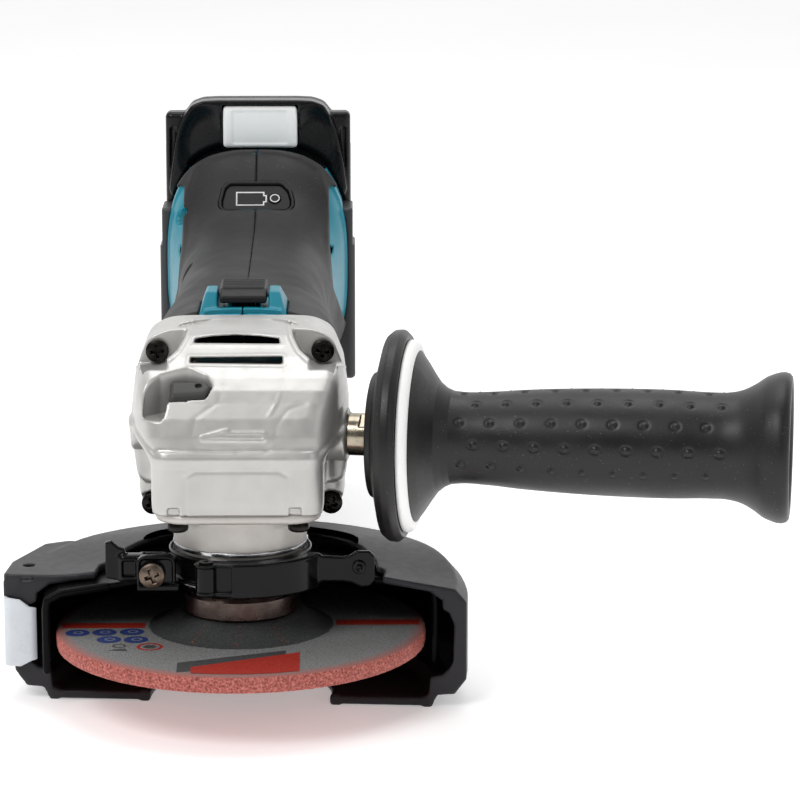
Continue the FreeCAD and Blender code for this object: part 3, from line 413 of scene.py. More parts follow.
class Finish:
    """A procedural material, built up a node at a time."""

    def __init__(self, name, rough, metallic=0.0, ior=1.45):
        self.mat = bpy.data.materials.new(name)
        self.mat.use_nodes = True
        self.tree = self.mat.node_tree
        self.shader = self.tree.nodes["Principled BSDF"]
        self.shader.inputs["Roughness"].default_value = rough
        self.shader.inputs["Metallic"].default_value = metallic
        self.shader.inputs["IOR"].default_value = ior
        self.where = self.node("ShaderNodeTexCoord").outputs["Object"]
        self.normal = None

    def node(self, kind, **settings):
        made = self.tree.nodes.new(kind)
        for word, value in settings.items():
            setattr(made, word, value)
        return made

    def link(self, source, target):
        self.tree.links.new(source, target)

    def stretched(self, scale):
        """Coordinates scaled by a different amount on each axis."""
        mapping = self.node("ShaderNodeMapping")
        mapping.inputs["Scale"].default_value = scale
        self.link(self.where, mapping.inputs["Vector"])
        return mapping.outputs["Vector"]

    def noise(self, size_mm, detail=3.0, stretch=None):
        """Cloudy noise whose blotches are about size_mm across."""
        made = self.node("ShaderNodeTexNoise")
        made.inputs["Scale"].default_value = 1000 / size_mm
        made.inputs["Detail"].default_value = detail
        self.link(self.stretched(stretch) if stretch else self.where, made.inputs["Vector"])
        return made.outputs["Fac"]

    def ramp(self, value, stops):
        """A colour ramp from (position, colour) stops."""
        made = self.node("ShaderNodeValToRGB")
        points = made.color_ramp.elements
        while len(points) < len(stops):
            points.new(0.5)
        for point, (place, colour) in zip(points, stops):
            point.position = place
            point.color = (*colour, 1)
        self.link(value, made.inputs["Fac"])
        return made.outputs["Color"]

    def number(self, value, low, high, start=0.3, end=0.7):
        """A noise value remapped to a range."""
        made = self.node("ShaderNodeMapRange")
        for word, number in (("From Min", start), ("From Max", end), ("To Min", low), ("To Max", high)):
            made.inputs[word].default_value = number
        self.link(value, made.inputs["Value"])
        return made.outputs["Result"]

    def mix(self, factor, a, b):
        """Two colours or sockets mixed by a factor."""
        made = self.node("ShaderNodeMix", data_type="RGBA")
        for value, socket in ((factor, made.inputs[0]), (a, made.inputs[6]), (b, made.inputs[7])):
            if isinstance(value, bpy.types.NodeSocket):
                self.link(value, socket)
            elif isinstance(value, (int, float)):
                socket.default_value = value
            else:
                socket.default_value = (*value, 1)
        return made.outputs[2]

    def bump(self, value, height_mm, strength=1.0):
        """Raise the surface by a value, on top of earlier bumps."""
        made = self.node("ShaderNodeBump")
        made.inputs["Distance"].default_value = height_mm * MM
        made.inputs["Strength"].default_value = strength
        self.link(value, made.inputs["Height"])
        if self.normal is not None:
            self.link(self.normal, made.inputs["Normal"])
        self.normal = made.outputs["Normal"]

    def edges(self, low=0.52, high=0.6):
        """1 along raised edges, from the shape's own curvature."""
        made = self.node("ShaderNodeNewGeometry")
        return self.number(made.outputs["Pointiness"], 0, 1, low, high)

    def done(self, colour, rough=None):
        """Join the colour, the roughness and the bumps to the shader."""
        self.link(colour, self.shader.inputs["Base Color"])
        if rough is not None:
            self.link(rough, self.shader.inputs["Roughness"])
        if self.normal is not None:
            self.link(self.normal, self.shader.inputs["Normal"])
        return self.mat


def rgb(r, g, b):
    """Screen colour, 0 to 255, to the linear values that shaders take."""
    return tuple(c / 12.92 if c <= 0.04045 else ((c + 0.055) / 1.055) ** 2.4
                 for c in (v / 255 for v in (r, g, b)))


def shade(colour, factor):
    """A lighter or darker version of a colour."""
    return tuple(min(1, c * factor) for c in colour)


def plastic(name, colour, rough, vary, grain, depth, edge, ior=1.45):
    """Moulded plastic: grain of a size and depth in mm, faint blotches, and edges rubbed paler."""
    f = Finish(name, rough, ior=ior)
    cloud = f.noise(9)
    tone = f.ramp(cloud, [(0.3, shade(colour, 1 - vary)), (0.7, shade(colour, 1 + vary))])
    tone = f.mix(f.edges(), tone, shade(colour, edge))
    f.bump(f.noise(grain, 2), depth)
    return f.done(tone, f.number(f.noise(3), rough - 0.02, rough + 0.04))


def rubber(name, colour, rough):
    """Soft overmould: matt, finely pitted, paler where it is rubbed, with a few dust specks."""
    f = Finish(name, rough)
    cloud = f.noise(14)
    tone = f.ramp(cloud, [(0.3, shade(colour, 0.82)), (0.7, shade(colour, 1.2))])
    tone = f.mix(f.edges(0.51, 0.58), tone, shade(colour, 1.7))
    dust = f.ramp(f.noise(0.55, 0), [(0.8, (0, 0, 0)), (0.82, (0.35, 0.35, 0.35))])
    tone = f.mix(dust, tone, rgb(120, 120, 118))
    f.bump(f.noise(0.35, 2), 0.035)
    return f.done(tone, f.number(cloud, rough - 0.06, rough + 0.08))


def cast_metal(name, colour, rough, grain, depth):
    """Painted or bare die casting: fine orange-peel, soft tonal drift, and brighter edges."""
    f = Finish(name, rough, 0.55)
    tone = f.ramp(f.noise(18), [(0.3, shade(colour, 0.93)), (0.7, shade(colour, 1.04))])
    tone = f.mix(f.edges(0.52, 0.62), tone, shade(colour, 1.15))
    f.bump(f.noise(grain, 3), depth)
    f.bump(f.noise(6, 2), 0.05)
    return f.done(tone, f.number(f.noise(4), rough - 0.05, rough + 0.07))


def steel(name, colour, rough, turned_marks=0.0, stretch=(0.4, 0.4, 4), dark=0.75):
    """Machined steel: streaks across the cut, darker tarnish in clouds."""
    f = Finish(name, rough, 1.0)
    tone = f.ramp(f.noise(5, 4), [(0.3, shade(colour, dark)), (0.7, colour)])
    tone = f.mix(f.edges(0.52, 0.6), tone, shade(colour, 1.3))
    if turned_marks:
        f.bump(f.noise(1.2, 2, stretch), turned_marks)
    else:
        f.bump(f.noise(0.4, 2), 0.01)
    return f.done(tone, f.number(f.noise(2), rough - 0.07, rough + 0.1))


SILVER = cast_metal("silver_casting", rgb(196, 195, 192), 0.36, 0.5, 0.012)
NECK_CAST = cast_metal("rough_casting", rgb(204, 200, 195), 0.5, 0.55, 0.07)
TEAL = plastic("teal_plastic", rgb(12, 128, 148), 0.34, 0.05, 0.3, 0.012, 1.35)
RUBBER = rubber("grip_rubber", rgb(22, 21, 22), 0.55)
HANDLE_RUBBER = rubber("handle_rubber", rgb(17, 16, 16), 0.4)
BLACK = plastic("black_plastic", rgb(22, 21, 23), 0.42, 0.12, 0.35, 0.03, 1.9, ior=1.36)
SATIN = plastic("satin_plastic", rgb(42, 41, 44), 0.4, 0.03, 0.3, 0.02, 1.6, ior=1.32)
GREY = plastic("grey_plastic", rgb(52, 52, 51), 0.45, 0.08, 0.3, 0.02, 1.5)
WHITE = plastic("white_plastic", rgb(252, 252, 251), 0.35, 0.01, 0.3, 0.01, 1.02)
MARK = plastic("panel_print", rgb(226, 226, 228), 0.5, 0.03, 0.3, 0.005, 1.0)
PALE = plastic("pale_side_plate", rgb(214, 219, 224), 0.28, 0.03, 0.8, 0.01, 1.05)
PRESSED = plastic("black_pressing", rgb(9, 9, 10), 0.3, 0.1, 1.5, 0.02, 2.0, ior=1.16)
PAINTED = plastic("black_paint", rgb(10, 10, 11), 0.14, 0.15, 1.5, 0.02, 3.0, ior=1.27)
SCREW = steel("black_screw", rgb(48, 46, 44), 0.3, dark=0.7)
BRONZE = steel("bronzed_screw", rgb(120, 106, 94), 0.34, dark=0.7)
NICKEL = steel("nickel_steel", rgb(176, 166, 148), 0.2, 0.02, (4, 0.4, 0.4), 0.6)
FLANGE = steel("flange_steel", rgb(112, 98, 92), 0.3, 0.03, (0.3, 0.3, 5), 0.55)
BEARING = steel("bearing_steel", rgb(190, 190, 192), 0.18, 0.01)
GEAR = steel("gear_steel", rgb(112, 110, 108), 0.32, 0.01)
GLOSSY_CASE = plastic("battery_front_plastic", rgb(12, 12, 13), 0.26, 0.08, 0.5, 0.015, 2.4, ior=1.35)
BATTERY = plastic("battery_plastic", rgb(26, 25, 27), 0.45, 0.08, 0.3, 0.03, 1.7)
FOOT = plastic("foot_plastic", rgb(56, 56, 58), 0.4, 0.06, 0.3, 0.02, 1.4)


# ---------------------------------------------------------------- gear head

HEAD_SIDE = [(-28, 38.8), (20, 38.8), (20, 26.5), (45, 26.5), (45, 93.4), (8, 92.6), (-5, 87.4),
             (-14, 82.4), (-18.8, 78.9), (-21.9, 75.3), (-24.6, 70.8), (-26.7, 65), (-28, 57.5)]
HEAD_FRONT = [(-10, 25.5), (28, 25.5), (34, 31), (37.1, 50.5), (37.1, 66), (35, 80),
              (31.5, 89), (25, 95), (15, 98.5), (-10, 98.5)]
HEAD_TOP = [(-10, -31.5), (20.5, -31.5), (28, -27.5), (34.2, -13), (37.6, 0), (40, 9), (40, 80),
            (-10, 80)]
RIDGE = 57.5
LOOK_DOWN = 0.2145
UPPER_SCREWS = [(-28, 18, 85.5), (28, 18, 85.5)]
LOWER_SCREWS = [(-30.5, 24, 31.2), (30.5, 24, 31.2)]
BOX_SCREWS = [(x, y) for x in (-20, 20) for y in (-20, 20)]
LOCK_PIN = (9.6 * math.cos(math.radians(212)), 9.6 * math.sin(math.radians(212)))
HANDLE_Z = 61.5
HANDLE_LEAN = -9

# Marks on the sloping face are drawn across it, by x and by height seen from the front.
ARROW = [(-11.4, 58.6), (9.2, 58.4), (9.2, 60.9), (-2.6, 60.9), (-3, 62.0), (-11.6, 59.6)]
PANEL_LINE = [(-5.1, 76.7), (-5.8, 71.6), (-13.5, 65.9), (-14.8, 59.4), (-12.8, 55.1), (9, 53.8),
              (12.2, 57.3), (13.2, 63.7), (16.8, 68.5), (22.4, 70.6)]
VENT_LINE = [(15.7, 84.2), (15.4, 78.8), (13.4, 71.6), (10.6, 66.8)]
LEDGE = [(-21.2, 98.0), (-10, 100.4), (0, 101.2), (10, 100.4), (19.8, 98.2), (18.2, 100.0),
         (10, 102.2), (0, 103.1), (-10, 102.2), (-19, 100.2)]
SCREW_FIELD = [(60, 84.2), (60, 130), (17.4, 130), (17.3, 97.6), (18.2, 93.4), (20.4, 89.0),
               (24.0, 85.6), (29, 84.3)]
LOW_VENT = [(-16, 84.6), (14.8, 84.1), (14.7, 86.7), (-15.8, 86.4)]
HIGH_VENT = [(-15.1, 91.5), (13.8, 91.2), (13.2, 93.0), (7, 93.9), (-1, 94.3), (-9, 93.9),
             (-14.6, 93.0)]
THUMB_POCKET = [(-30.8, -24.5), (-24, -24.5), (-22.7, -21.2), (-10, -20.4), (-7.8, -16.6),
                (-10, -12.8), (-16.3, -9.1), (-25.5, -12.3), (-31, -17.2)]
THUMB_CAP = [(-22.2, -20.6), (-10.6, -19.7), (-8.5, -16.7), (-10.4, -13.6), (-14.4, -10.9),
             (-22.2, -10.9)]


def head_mass(p):
    """The casting's outer form, without its marks and rooms."""
    x, y, z = p
    ax = np.abs(x)
    side = soft_polygon(y, z, HEAD_SIDE, 5)
    front = soft_polygon(ax, z, HEAD_FRONT, 12)
    top = soft_polygon(ax, y, HEAD_TOP, 12)
    upper = smax(smax(side, front, 5), top, 6)
    upper = np.maximum(upper, y - 45)
    shoulder = smax(28.2 - ax, (z - RIDGE - 0.8 * (ax - 28.2)) * 0.78, 3)
    upper = cut(upper, smax(shoulder, y - 18.5, 6), 2)
    below = upright(p, (-28, 28), (-28.2, 22), (38.8, RIDGE + 3), 5.5, 0.6)
    mass = smin(upper, below, 1.2)
    spare_boss = bar(p, 0, (0, HANDLE_Z), 6.2, (-36.2, -29), 1.5)
    handle_boss = bar(turned(p, HANDLE_LEAN), 0, (0, HANDLE_Z), 9, (29, 37), 0.5)
    return smin(mass, np.minimum(spare_boss, handle_boss), 2)


def head_relief(p):
    """How far the cast marks stand proud of the face, in millimetres."""
    x, y, z = p
    w = z + LOOK_DOWN * y
    raised = 0.32 * bead(polygon(x, w, ARROW), 0.4)
    raised = raised - 0.08 * bead(polyline(x, w, PANEL_LINE), 0.8)
    raised = raised + 0.12 * bead(polyline(x, w, VENT_LINE), 0.45)
    raised = raised + 0.9 * ramp((0.5 - polygon(x, w, LEDGE)) / 1.0)
    raised = raised + 0.5 * bead(polygon(np.abs(x), w, SCREW_FIELD) - 0.9, 0.7)
    lips = np.minimum(np.abs(polygon(x, w, LOW_VENT) - 0.7), np.abs(polygon(x, w, HIGH_VENT) - 0.7))
    raised = raised + 0.25 * bead(lips, 0.5)
    front = ramp((36 - y) / 6)
    ax = np.abs(x)
    shoulder_line = RIDGE + 0.8 * np.maximum(ax - 27.0, 0)
    ridge = bead(z - shoulder_line - 0.2, 1.5) - 0.5 * bead(z - shoulder_line - 2.6, 0.8)
    ridge = ridge + 0.25 * bead(z - shoulder_line + 1.9, 0.6)
    raised = raised * front + 0.5 * ridge * ramp((10 - y) / 14)
    inset_frame = polygon(x, z, [(-17, 30), (17, 30), (17, 52), (14, 54), (-14, 54), (-17, 52)])
    return raised - 0.22 * bead(inset_frame, 0.6) * ramp((-24 - y) / 2)


def head_rooms(p):
    """Everything cut out of the casting: bores, vents, thumb pocket, screw seats and notches."""
    x, y, z = p
    ax = np.abs(x)
    reach = np.hypot(x, y)
    w = z + LOOK_DOWN * y
    rooms = [
        corner_blend([reach - 22.5, span(z, 20, 64)], 0.5),
        corner_blend([reach - 6, span(z, 50, 75)], 0.2),
        bar(p, 1, (0, ROTOR), 9.5, (8, 32), 0.2),
        bar(p, 1, (0, ROTOR), 13, (24, 60), 0.2),
        bar(p, 1, (0, ROTOR), 29.5, (34, 60), 0.5),
        box(p, (-15, 15), (12.5, 60), (82, 91.2), 0.6),
        corner_blend([polygon(x, w, LOW_VENT), span(y, -30, 15)], 0.35),
        corner_blend([polygon(x, w, HIGH_VENT), span(y, -30, 18)], 0.35),
        smax(soft_polygon(x, y, THUMB_POCKET, 2.6), 69.9 - z, 0.8),
        smax(soft_polygon(ax, w, SCREW_FIELD, 1), y - 18, 1.5),
        bar(turned(p, HANDLE_LEAN), 0, (0, HANDLE_Z), 4.1, (23, 45), 0.1),
        bar(p, 0, (0, HANDLE_Z), 3.4, (-45, -24), 0.1),
    ]
    for sx, sy, sz in (UPPER_SCREWS[1], LOWER_SCREWS[1]):
        hole = np.hypot(ax - sx, z - sz)
        rooms.append(np.maximum(hole - 2.05, 5 - y))
        rooms.append(corner_blend([hole - 4.6, span(y, -10, sy)], 0.3))
    pin = np.hypot(x - LOCK_PIN[0], y - LOCK_PIN[1])
    rooms.append(np.maximum(pin - 2.3, span(z, 55, 80)))
    rooms.append(np.maximum(pin - 3.85, span(z, 69.9, 78)))
    rooms += [bar(p, 2, spot, 2.05, (20, 52), 0.1) for spot in BOX_SCREWS]
    rooms += [box(p, (left, left + 4), (-40, -26.6), (30, 41.5), 0.6) for left in (-23, 17)]
    return union(rooms)


def head_field(p):
    """The whole gear head casting."""
    return cut(head_mass(p) - head_relief(p), head_rooms(p), 0.5)


def lock_cap_field(p):
    """The shaft lock's thumb cap, with a sloping top and a small dimple."""
    x, y, z = p
    top = np.minimum(77.6 + 0.62 * (y + 20.6), 81.0)
    body = smax(soft_polygon(x, y, THUMB_CAP, 1.4), span(z, 74.25, 90), 0.6)
    body = smax(body, (z - top) * 0.86, 1.6)
    dot = np.sqrt((x + 12.8) ** 2 + (y + 16) ** 2 + (z - 79.9) ** 2) - 1.1
    return cut(body, dot, 0.3)


carve("gear_head_casting", head_field, (-38.5, -31, 25), (38.5, 46.2, 95.5), 0.6, "tool", SILVER,
      ["gear_housing"])
carve("shaft_lock_cap", lock_cap_field, (-23.5, -23, 73), (-7, -9, 82.5), 0.3, "shaft_lock", GREY,
      ["lock_button"])


# ---------------------------------------------------------------- motor housing and grip

# stations along Y: (distance back, half width, lowest and highest point of the section)
SECTIONS = [
    (45, 34.0, 27.0, 92.8),
    (60, 33.5, 28.5, 92.4),
    (90, 32.5, 30.0, 91.8),
    (108, 31.0, 31.0, 91.8),
    (130, 28.2, 31.8, 92.4),
    (155, 27.4, 32.6, 93.6),
    (180, 27.8, 33.0, 95.0),
    (200, 28.8, 33.0, 96.6),
    (214, 30.8, 32.6, 100.6),
    (224, 33.0, 32.0, 106.4),
    (233, 35.0, 31.2, 115.4),
    (241, 36.0, 30.5, 121.8),
]
HOUSING_SCREWS = [(120, 40), (170, 40.2), (170, 85), (228, 38), (228, 98)]
# (x, y, z) reaches of the rooms behind the motor: link, switch, controller, terminals and rails
HOUSING_ROOMS = [((-20, 20), (114, 162), (44, 82)), ((-22.6, 22.6), (160, 214), (43.5, 78)),
                 ((-24, 24), (213, 238), (44, 88)), ((-6, 6), (46, 84), (87, 110)),
                 ((-5, 5), (60, 133), (87, 90.4)), ((-9, 9), (114, 160), (80, 90.4)),
                 ((-14, 14), (236, 250), (46, 74)), ((-31, 31), (249, 258), (33, 130)),
                 ((-27, 27), (249, 264), (33, 130))]
SIDE_PANEL = [(40, 36), (80, 40), (98, 47), (105, 58), (98, 72), (80, 82), (60, 88), (40, 92)]
REAR_STRIP = [(28.8, 160), (29.2, 135), (30.6, 117), (35.2, 104), (60, 104), (60, 157.5), (35.8, 157.5)]
ARCH_LINE = [(28.9, 100), (28.5, 145), (28.2, 154), (24.6, 166.5), (18, 171), (9, 173.4), (-1, 174)]
GAUGE_FRAME = [(-13.2, -5.6), (13.5, -5.6), (13.6, -1.2), (12.6, 3.2), (9.8, 6.6), (-10.2, 6.6),
               (-11.9, 4.6), (-13.1, -1.2)]
GAUGE_AT = (0, 222.9, 105)
GAUGE_TILT = 45
CHECK_X = 7.5
SEAM = 0.04


def barrel(p, grow=0.0, power=2.9):
    """Distance to the housing's outer form, made larger by grow."""
    x, y, z = p
    back = np.clip(y, 45, 241)
    half, low, high = (along(back, SECTIONS, i) for i in (1, 2, 3))
    return squircle(x, z - (low + high) / 2, half + grow, (high - low) / 2 + grow, power)


def screw_recesses(p, depth):
    """Counterbores over the housing's own screws, on the left."""
    x, y, z = p
    holes = [np.hypot(y - sy, z - sz) - 3.65 for sy, sz in HOUSING_SCREWS]
    return np.maximum(union(holes), x - depth)


def rear_arch(p, grow=0.0):
    """The housing's last section, carried straight back."""
    return squircle(p[0], p[2] - 76, 36 + grow, 45.5 + grow, 2.9)


def housing_field(p):
    """Both halves' outer form together."""
    body = corner_blend([barrel(p), span(p[1], 45.05, 243)], 0.8)
    arch = corner_blend([rear_arch(p), span(p[1], 238, 262)], 0.6)
    return smin(body, arch, 1.0)


def housing_rooms(p):
    """Everything that the housing is hollowed for."""
    x, y, z = p
    rooms = [bar(p, 1, (0, ROTOR), 29.5, (30, 53), 0.3),
             bar(p, 1, (0, ROTOR), 27.1, (50, 103), 0.2),
             bar(p, 1, (0, ROTOR), 9.6, (100, 110), 0.2),
             screw_recesses(p, -16)]
    rooms += [box(p, *room) for room in HOUSING_ROOMS]
    rooms += [bar(p, 0, spot, 1.9, (-18, 16), 0.1) for spot in HOUSING_SCREWS]
    rooms += [np.maximum(np.hypot(np.abs(x) - sx, z - sz) - 2.05, 30 - y)
              for sx, _, sz in (UPPER_SCREWS[1], LOWER_SCREWS[1])]
    return union(rooms)


def gauge_frame_field(p, grow, low, high):
    """The gauge's rounded outline, on the housing's sloping back."""
    q = turned(p, GAUGE_TILT, 0, GAUGE_AT)
    flat = soft_polygon(q[0], q[1] - GAUGE_AT[1], GAUGE_FRAME, 2.5) - grow
    return corner_blend([flat, span(q[2] - GAUGE_AT[2], low, high)], 0.4)


def foot_half(side):
    """The black foot that the battery slides onto, one half of it."""
    def field(p):
        x, y, z = p
        ax = np.abs(x)
        slab = upright(p, (-39.2, 39.2), (240, 262), (29.2, 99), 2.4, 1.4)
        step = corner_blend([span(ax, 38.3, 60), span(z, 84, 130), y - 262], 0.3)
        slab = cut(slab, step, 0.5)
        ribs = corner_blend([span(np.mod(z - 40, 7) - 3.5, -0.9, 0.9), span(z, 40, 78), 38.4 - ax,
                             span(y, 246, 258)], 0.3)
        slab = cut(slab, ribs, 0.3)
        slab = cut(slab, np.maximum(barrel(p, 0.15), y - 241.2), 0.3)
        slab = cut(slab, np.maximum(rear_arch(p, -1.2), 242 - y), 0.3)
        slab = cut(slab, box(p, (-31, 31), (248, 258), (33, 130), 0.5), 0.3)
        return corner_blend([slab, 0.03 - side * x], 0.35)
    return field


def shell_half(side):
    """The hard shell's left half at side -1, or its right half at side 1."""
    def field(p):
        solid = cut(housing_field(p), housing_rooms(p), 0.4)
        solid = cut(solid, gauge_frame_field(p, 0.3, -8, 20), 0.3)
        return corner_blend([solid, 0.03 - side * p[0]], 0.35)
    return field


def rubber_half(side):
    """The soft overmould of one half."""
    def field(p):
        x, y, z = p
        ax = np.abs(x)
        w = z + LOOK_DOWN * y
        skin = barrel(p, 1.5)
        skin = skin - 0.6 * bead(polyline(ax, w, ARCH_LINE), 1.3) * ramp((y - 196) / 16)
        skin = corner_blend([skin, span(y, 48.4, 240.4)], 0.9)
        front_panel = smax(soft_polygon(y, z, SIDE_PANEL, 5), 20 - ax, 0.3)
        strip = smax(soft_polygon(ax, w, REAR_STRIP, 1.2), 170 - y, 0.5)
        slot = box(p, (-9.2, 9.2), (40, 84), (80, 120), 0.8)
        lugs = box(p, (-15.4, 15.4), (40, 72), (80, 120), 0.8)
        windows = [front_panel, strip, slot, lugs, gauge_frame_field(p, 1.5, -9, 20),
                   screw_recesses(p, -10)]
        solid = cut(skin, union(windows), 0.8)
        solid = np.maximum(solid, -barrel(p, -1.6))
        return corner_blend([solid, SEAM - side * x], 0.3)
    return field


for side, word in ((-1, "left"), (1, "right")):
    reach = (-40.5, 0.8) if side < 0 else (-0.8, 40.5)
    carve(f"housing_shell_{word}", shell_half(side), (reach[0], 43, 25), (reach[1], 264, 125), 0.95,
          "tool", TEAL, [f"housing_{word}"])
    carve(f"battery_foot_{word}", foot_half(side), (reach[0], 238, 27.5), (reach[1], 263.5, 101), 0.6,
          "tool", FOOT, [f"housing_{word}"])
    carve(f"grip_overmould_{word}", rubber_half(side), (reach[0], 47, 27), (reach[1], 242, 126), 0.7,
          "tool", RUBBER, [f"grip_rubber_{word}"])


# ---------------------------------------------------------------- gauge, switch

def rim_field(p):
    """The rubber lip round the gauge."""
    outer = gauge_frame_field(p, 1.4, -3.5, 1.9)
    return cut(outer, gauge_frame_field(p, 0.3, -9, 9), 0.9)


def gauge_field(p):
    q = turned(p, GAUGE_TILT, 0, GAUGE_AT)
    hole = np.hypot(q[0] - CHECK_X, q[1] - GAUGE_AT[1]) - 2.35
    return cut(gauge_frame_field(p, 0, -3.8, 0.9), hole, 0.3)


def gauge_button_field(p):
    """The gauge's round check button."""
    q = turned(p, GAUGE_TILT, 0, GAUGE_AT)
    shaft = np.hypot(q[0] - CHECK_X, q[1] - GAUGE_AT[1]) - 2.15
    return corner_blend([shaft, span(q[2] - GAUGE_AT[2], -2.2, 1.25)], 0.4)


def gauge_mark(name, outline, width, body, node, height=1.0):
    """A printed outline lying on the gauge, as a thin ribbon."""
    pts = np.array(outline, dtype=float)
    ahead = np.roll(pts, -1, axis=0) - pts
    ahead /= np.linalg.norm(ahead, axis=1, keepdims=True)
    before = np.roll(ahead, 1, axis=0)
    side = (ahead + before)[:, [1, 0]] * (1, -1)
    side /= np.maximum(np.einsum("ij,ij->i", side, ahead[:, [1, 0]] * (1, -1)), 0.3)[:, None]
    inner, outer = pts - side * width / 2, pts + side * width / 2
    count = len(pts)
    flat = np.concatenate([inner, outer])
    top = np.c_[flat, np.full(len(flat), height)]
    under = np.c_[flat, np.full(len(flat), height - 0.25)]
    verts = np.concatenate([top, under])
    i = np.arange(count)
    j = (i + 1) % count
    low = 2 * count
    faces = np.concatenate([
        np.stack([i, j, j + count, i + count], 1),
        np.stack([i + count, j + count, j + count + low, i + count + low], 1),
        np.stack([j, i, i + low, j + low], 1),
        np.stack([i + count + low, j + count + low, j + low, i + low], 1)])
    a = math.radians(GAUGE_TILT)
    y = verts[:, 1] * math.cos(a) - verts[:, 2] * math.sin(a) + GAUGE_AT[1]
    z = verts[:, 1] * math.sin(a) + verts[:, 2] * math.cos(a) + GAUGE_AT[2]
    placed = np.c_[verts[:, 0], y, z]
    obj = new_object(name, lift(placed), faces, smooth=False)
    return dress(obj, body, MARK, [node])


carve("gauge_rim", rim_field, (-17, 214, 97), (17.5, 235, 116), 0.3, "tool", RUBBER, ["gauge_panel"])
carve("gauge_face", gauge_field, (-16, 215, 98), (16, 234, 115), 0.35, "tool", BLACK, ["gauge_panel"])
carve("gauge_check_button", gauge_button_field, (4.5, 217, 100), (10.5, 229, 111), 0.25, "gauge_check",
      BLACK, ["gauge_button"])
gauge_mark("gauge_battery_outline", [(-7.6, -3.1), (3.1, -3.1), (3.1, -1.5), (4.1, -1.5),
                                     (4.1, 1.5), (3.1, 1.5), (3.1, 3.1), (-7.6, 3.1)], 0.55,
           "tool", "gauge_panel")
turns = np.linspace(0, 2 * math.pi, 40, endpoint=False)
gauge_mark("gauge_button_ring", np.c_[CHECK_X + 1.75 * np.cos(turns), 1.75 * np.sin(turns)], 0.45,
           "gauge_check", "gauge_button", 1.36)


def slider_field(p):
    """The switch slider's ribbed cap, with the stem that goes down into the housing."""
    x, y, z = p
    body = box(p, (-8.1, 8.1), (50, 74), (94.4, 100.3), 0.8)
    slope = (z - 100.3 + 0.5 * np.maximum(55 - y, 0)) * 0.9
    body = smax(body, slope, 1.0)
    ribs = 0.45 * np.cos((y - 55) * 2 * math.pi / 3.1) * ramp((y - 53) / 2) * ramp((73.5 - y) / 2)
    body = body - ribs * ramp((z - 98) / 1.5) * ramp((7.6 - np.abs(x)) / 0.8)
    under = box(p, (-9, 9), (49, 56), (90, 95.6), 0.4)
    body = cut(body, under, 0.5)
    stem = box(p, (-4, 4), (58, 68), (90.2, 96), 0.3)
    return np.minimum(body, stem)


def lug_field(p):
    """The two teal lugs that guard the slider, and the strip that joins them in front."""
    x, y, z = p
    ax = np.abs(x)
    lean = ax + 0.32 * (z - 99)
    post = corner_blend([span(lean, 8.9 + 0.32 * (z - 99), 12.9), span(y, 46.4, 76),
                         z - 99.6], 0.9)
    front = (z - 99.6 + 1.15 * np.maximum(53.5 - y, 0)) * 0.66
    back = (z - 99.6 + 0.5 * np.maximum(y - 64, 0)) * 0.85
    post = smax(post, np.maximum(front, back), 1.0)
    strip = corner_blend([ax - 13.4, span(y, 46.4, 50.6), barrel(p, 1.6)], 0.4)
    slit = box(p, (-0.2, 0.2), (44, 60), (80, 120), 0.05)
    strip = cut(strip, slit, 0.2)
    made = smin(post, strip, 0.8)
    return np.maximum(made, -barrel(p, -0.4))


carve("switch_slider_cap", slider_field, (-9, 49, 89.5), (9, 75, 102), 0.3, "switch", BLACK,
      ["switch_slider"])
carve("switch_guide_lugs", lug_field, (-17, 45, 89), (17, 78, 101), 0.4, "tool", TEAL,
      ["switch_guide"])


# ---------------------------------------------------------------- battery

HOOD_SIDE = [(36.4, 99.8), (35.0, 112), (33.6, 121), (32.2, 128), (30.0, 133.8), (26.8, 138.4),
             (22.0, 140.7), (16, 141.2)]
HOOD_MIRROR = [(-x, z) for x, z in HOOD_SIDE]
HOOD = HOOD_MIRROR[:1] + HOOD_SIDE + HOOD_MIRROR[:0:-1]
CASE_SPLIT = 265.4
RELEASE_ROOM = ((-14.3, 16.3), (240, 270.9), (120.6, 138.5))


def hood_field(p):
    """The black arch round the release button, hollowed at both sides of it."""
    x, y, z = p
    solid = corner_blend([soft_polygon(x, z, HOOD, 5), span(y, 256, 290)], 1.0)
    back = (z - 141.2 + 0.95 * np.maximum(y - 272, 0)) * 0.76
    solid = smax(solid, back, 2.5)
    solid = cut(solid, np.maximum(rear_arch(p, 0.7), y - 262.3), 0.4)
    centre = np.sqrt(((np.abs(x - 1) - 22) / 9.5) ** 2 + ((z - 122) / 13.5) ** 2)
    dish = smax((centre - 1) * 9, y - 258.2, 3)
    solid = cut(solid, dish, 3)
    solid = cut(solid, box(p, *RELEASE_ROOM, 1.2), 0.6)
    return solid


def battery_ear(p, back):
    """The pair of ears beside the arch, from their front to a given back."""
    return upright([np.abs(p[0]), p[1], p[2]], (27, 37.4), (260.5, back), (95, 135.2), 2.4, 2.2)


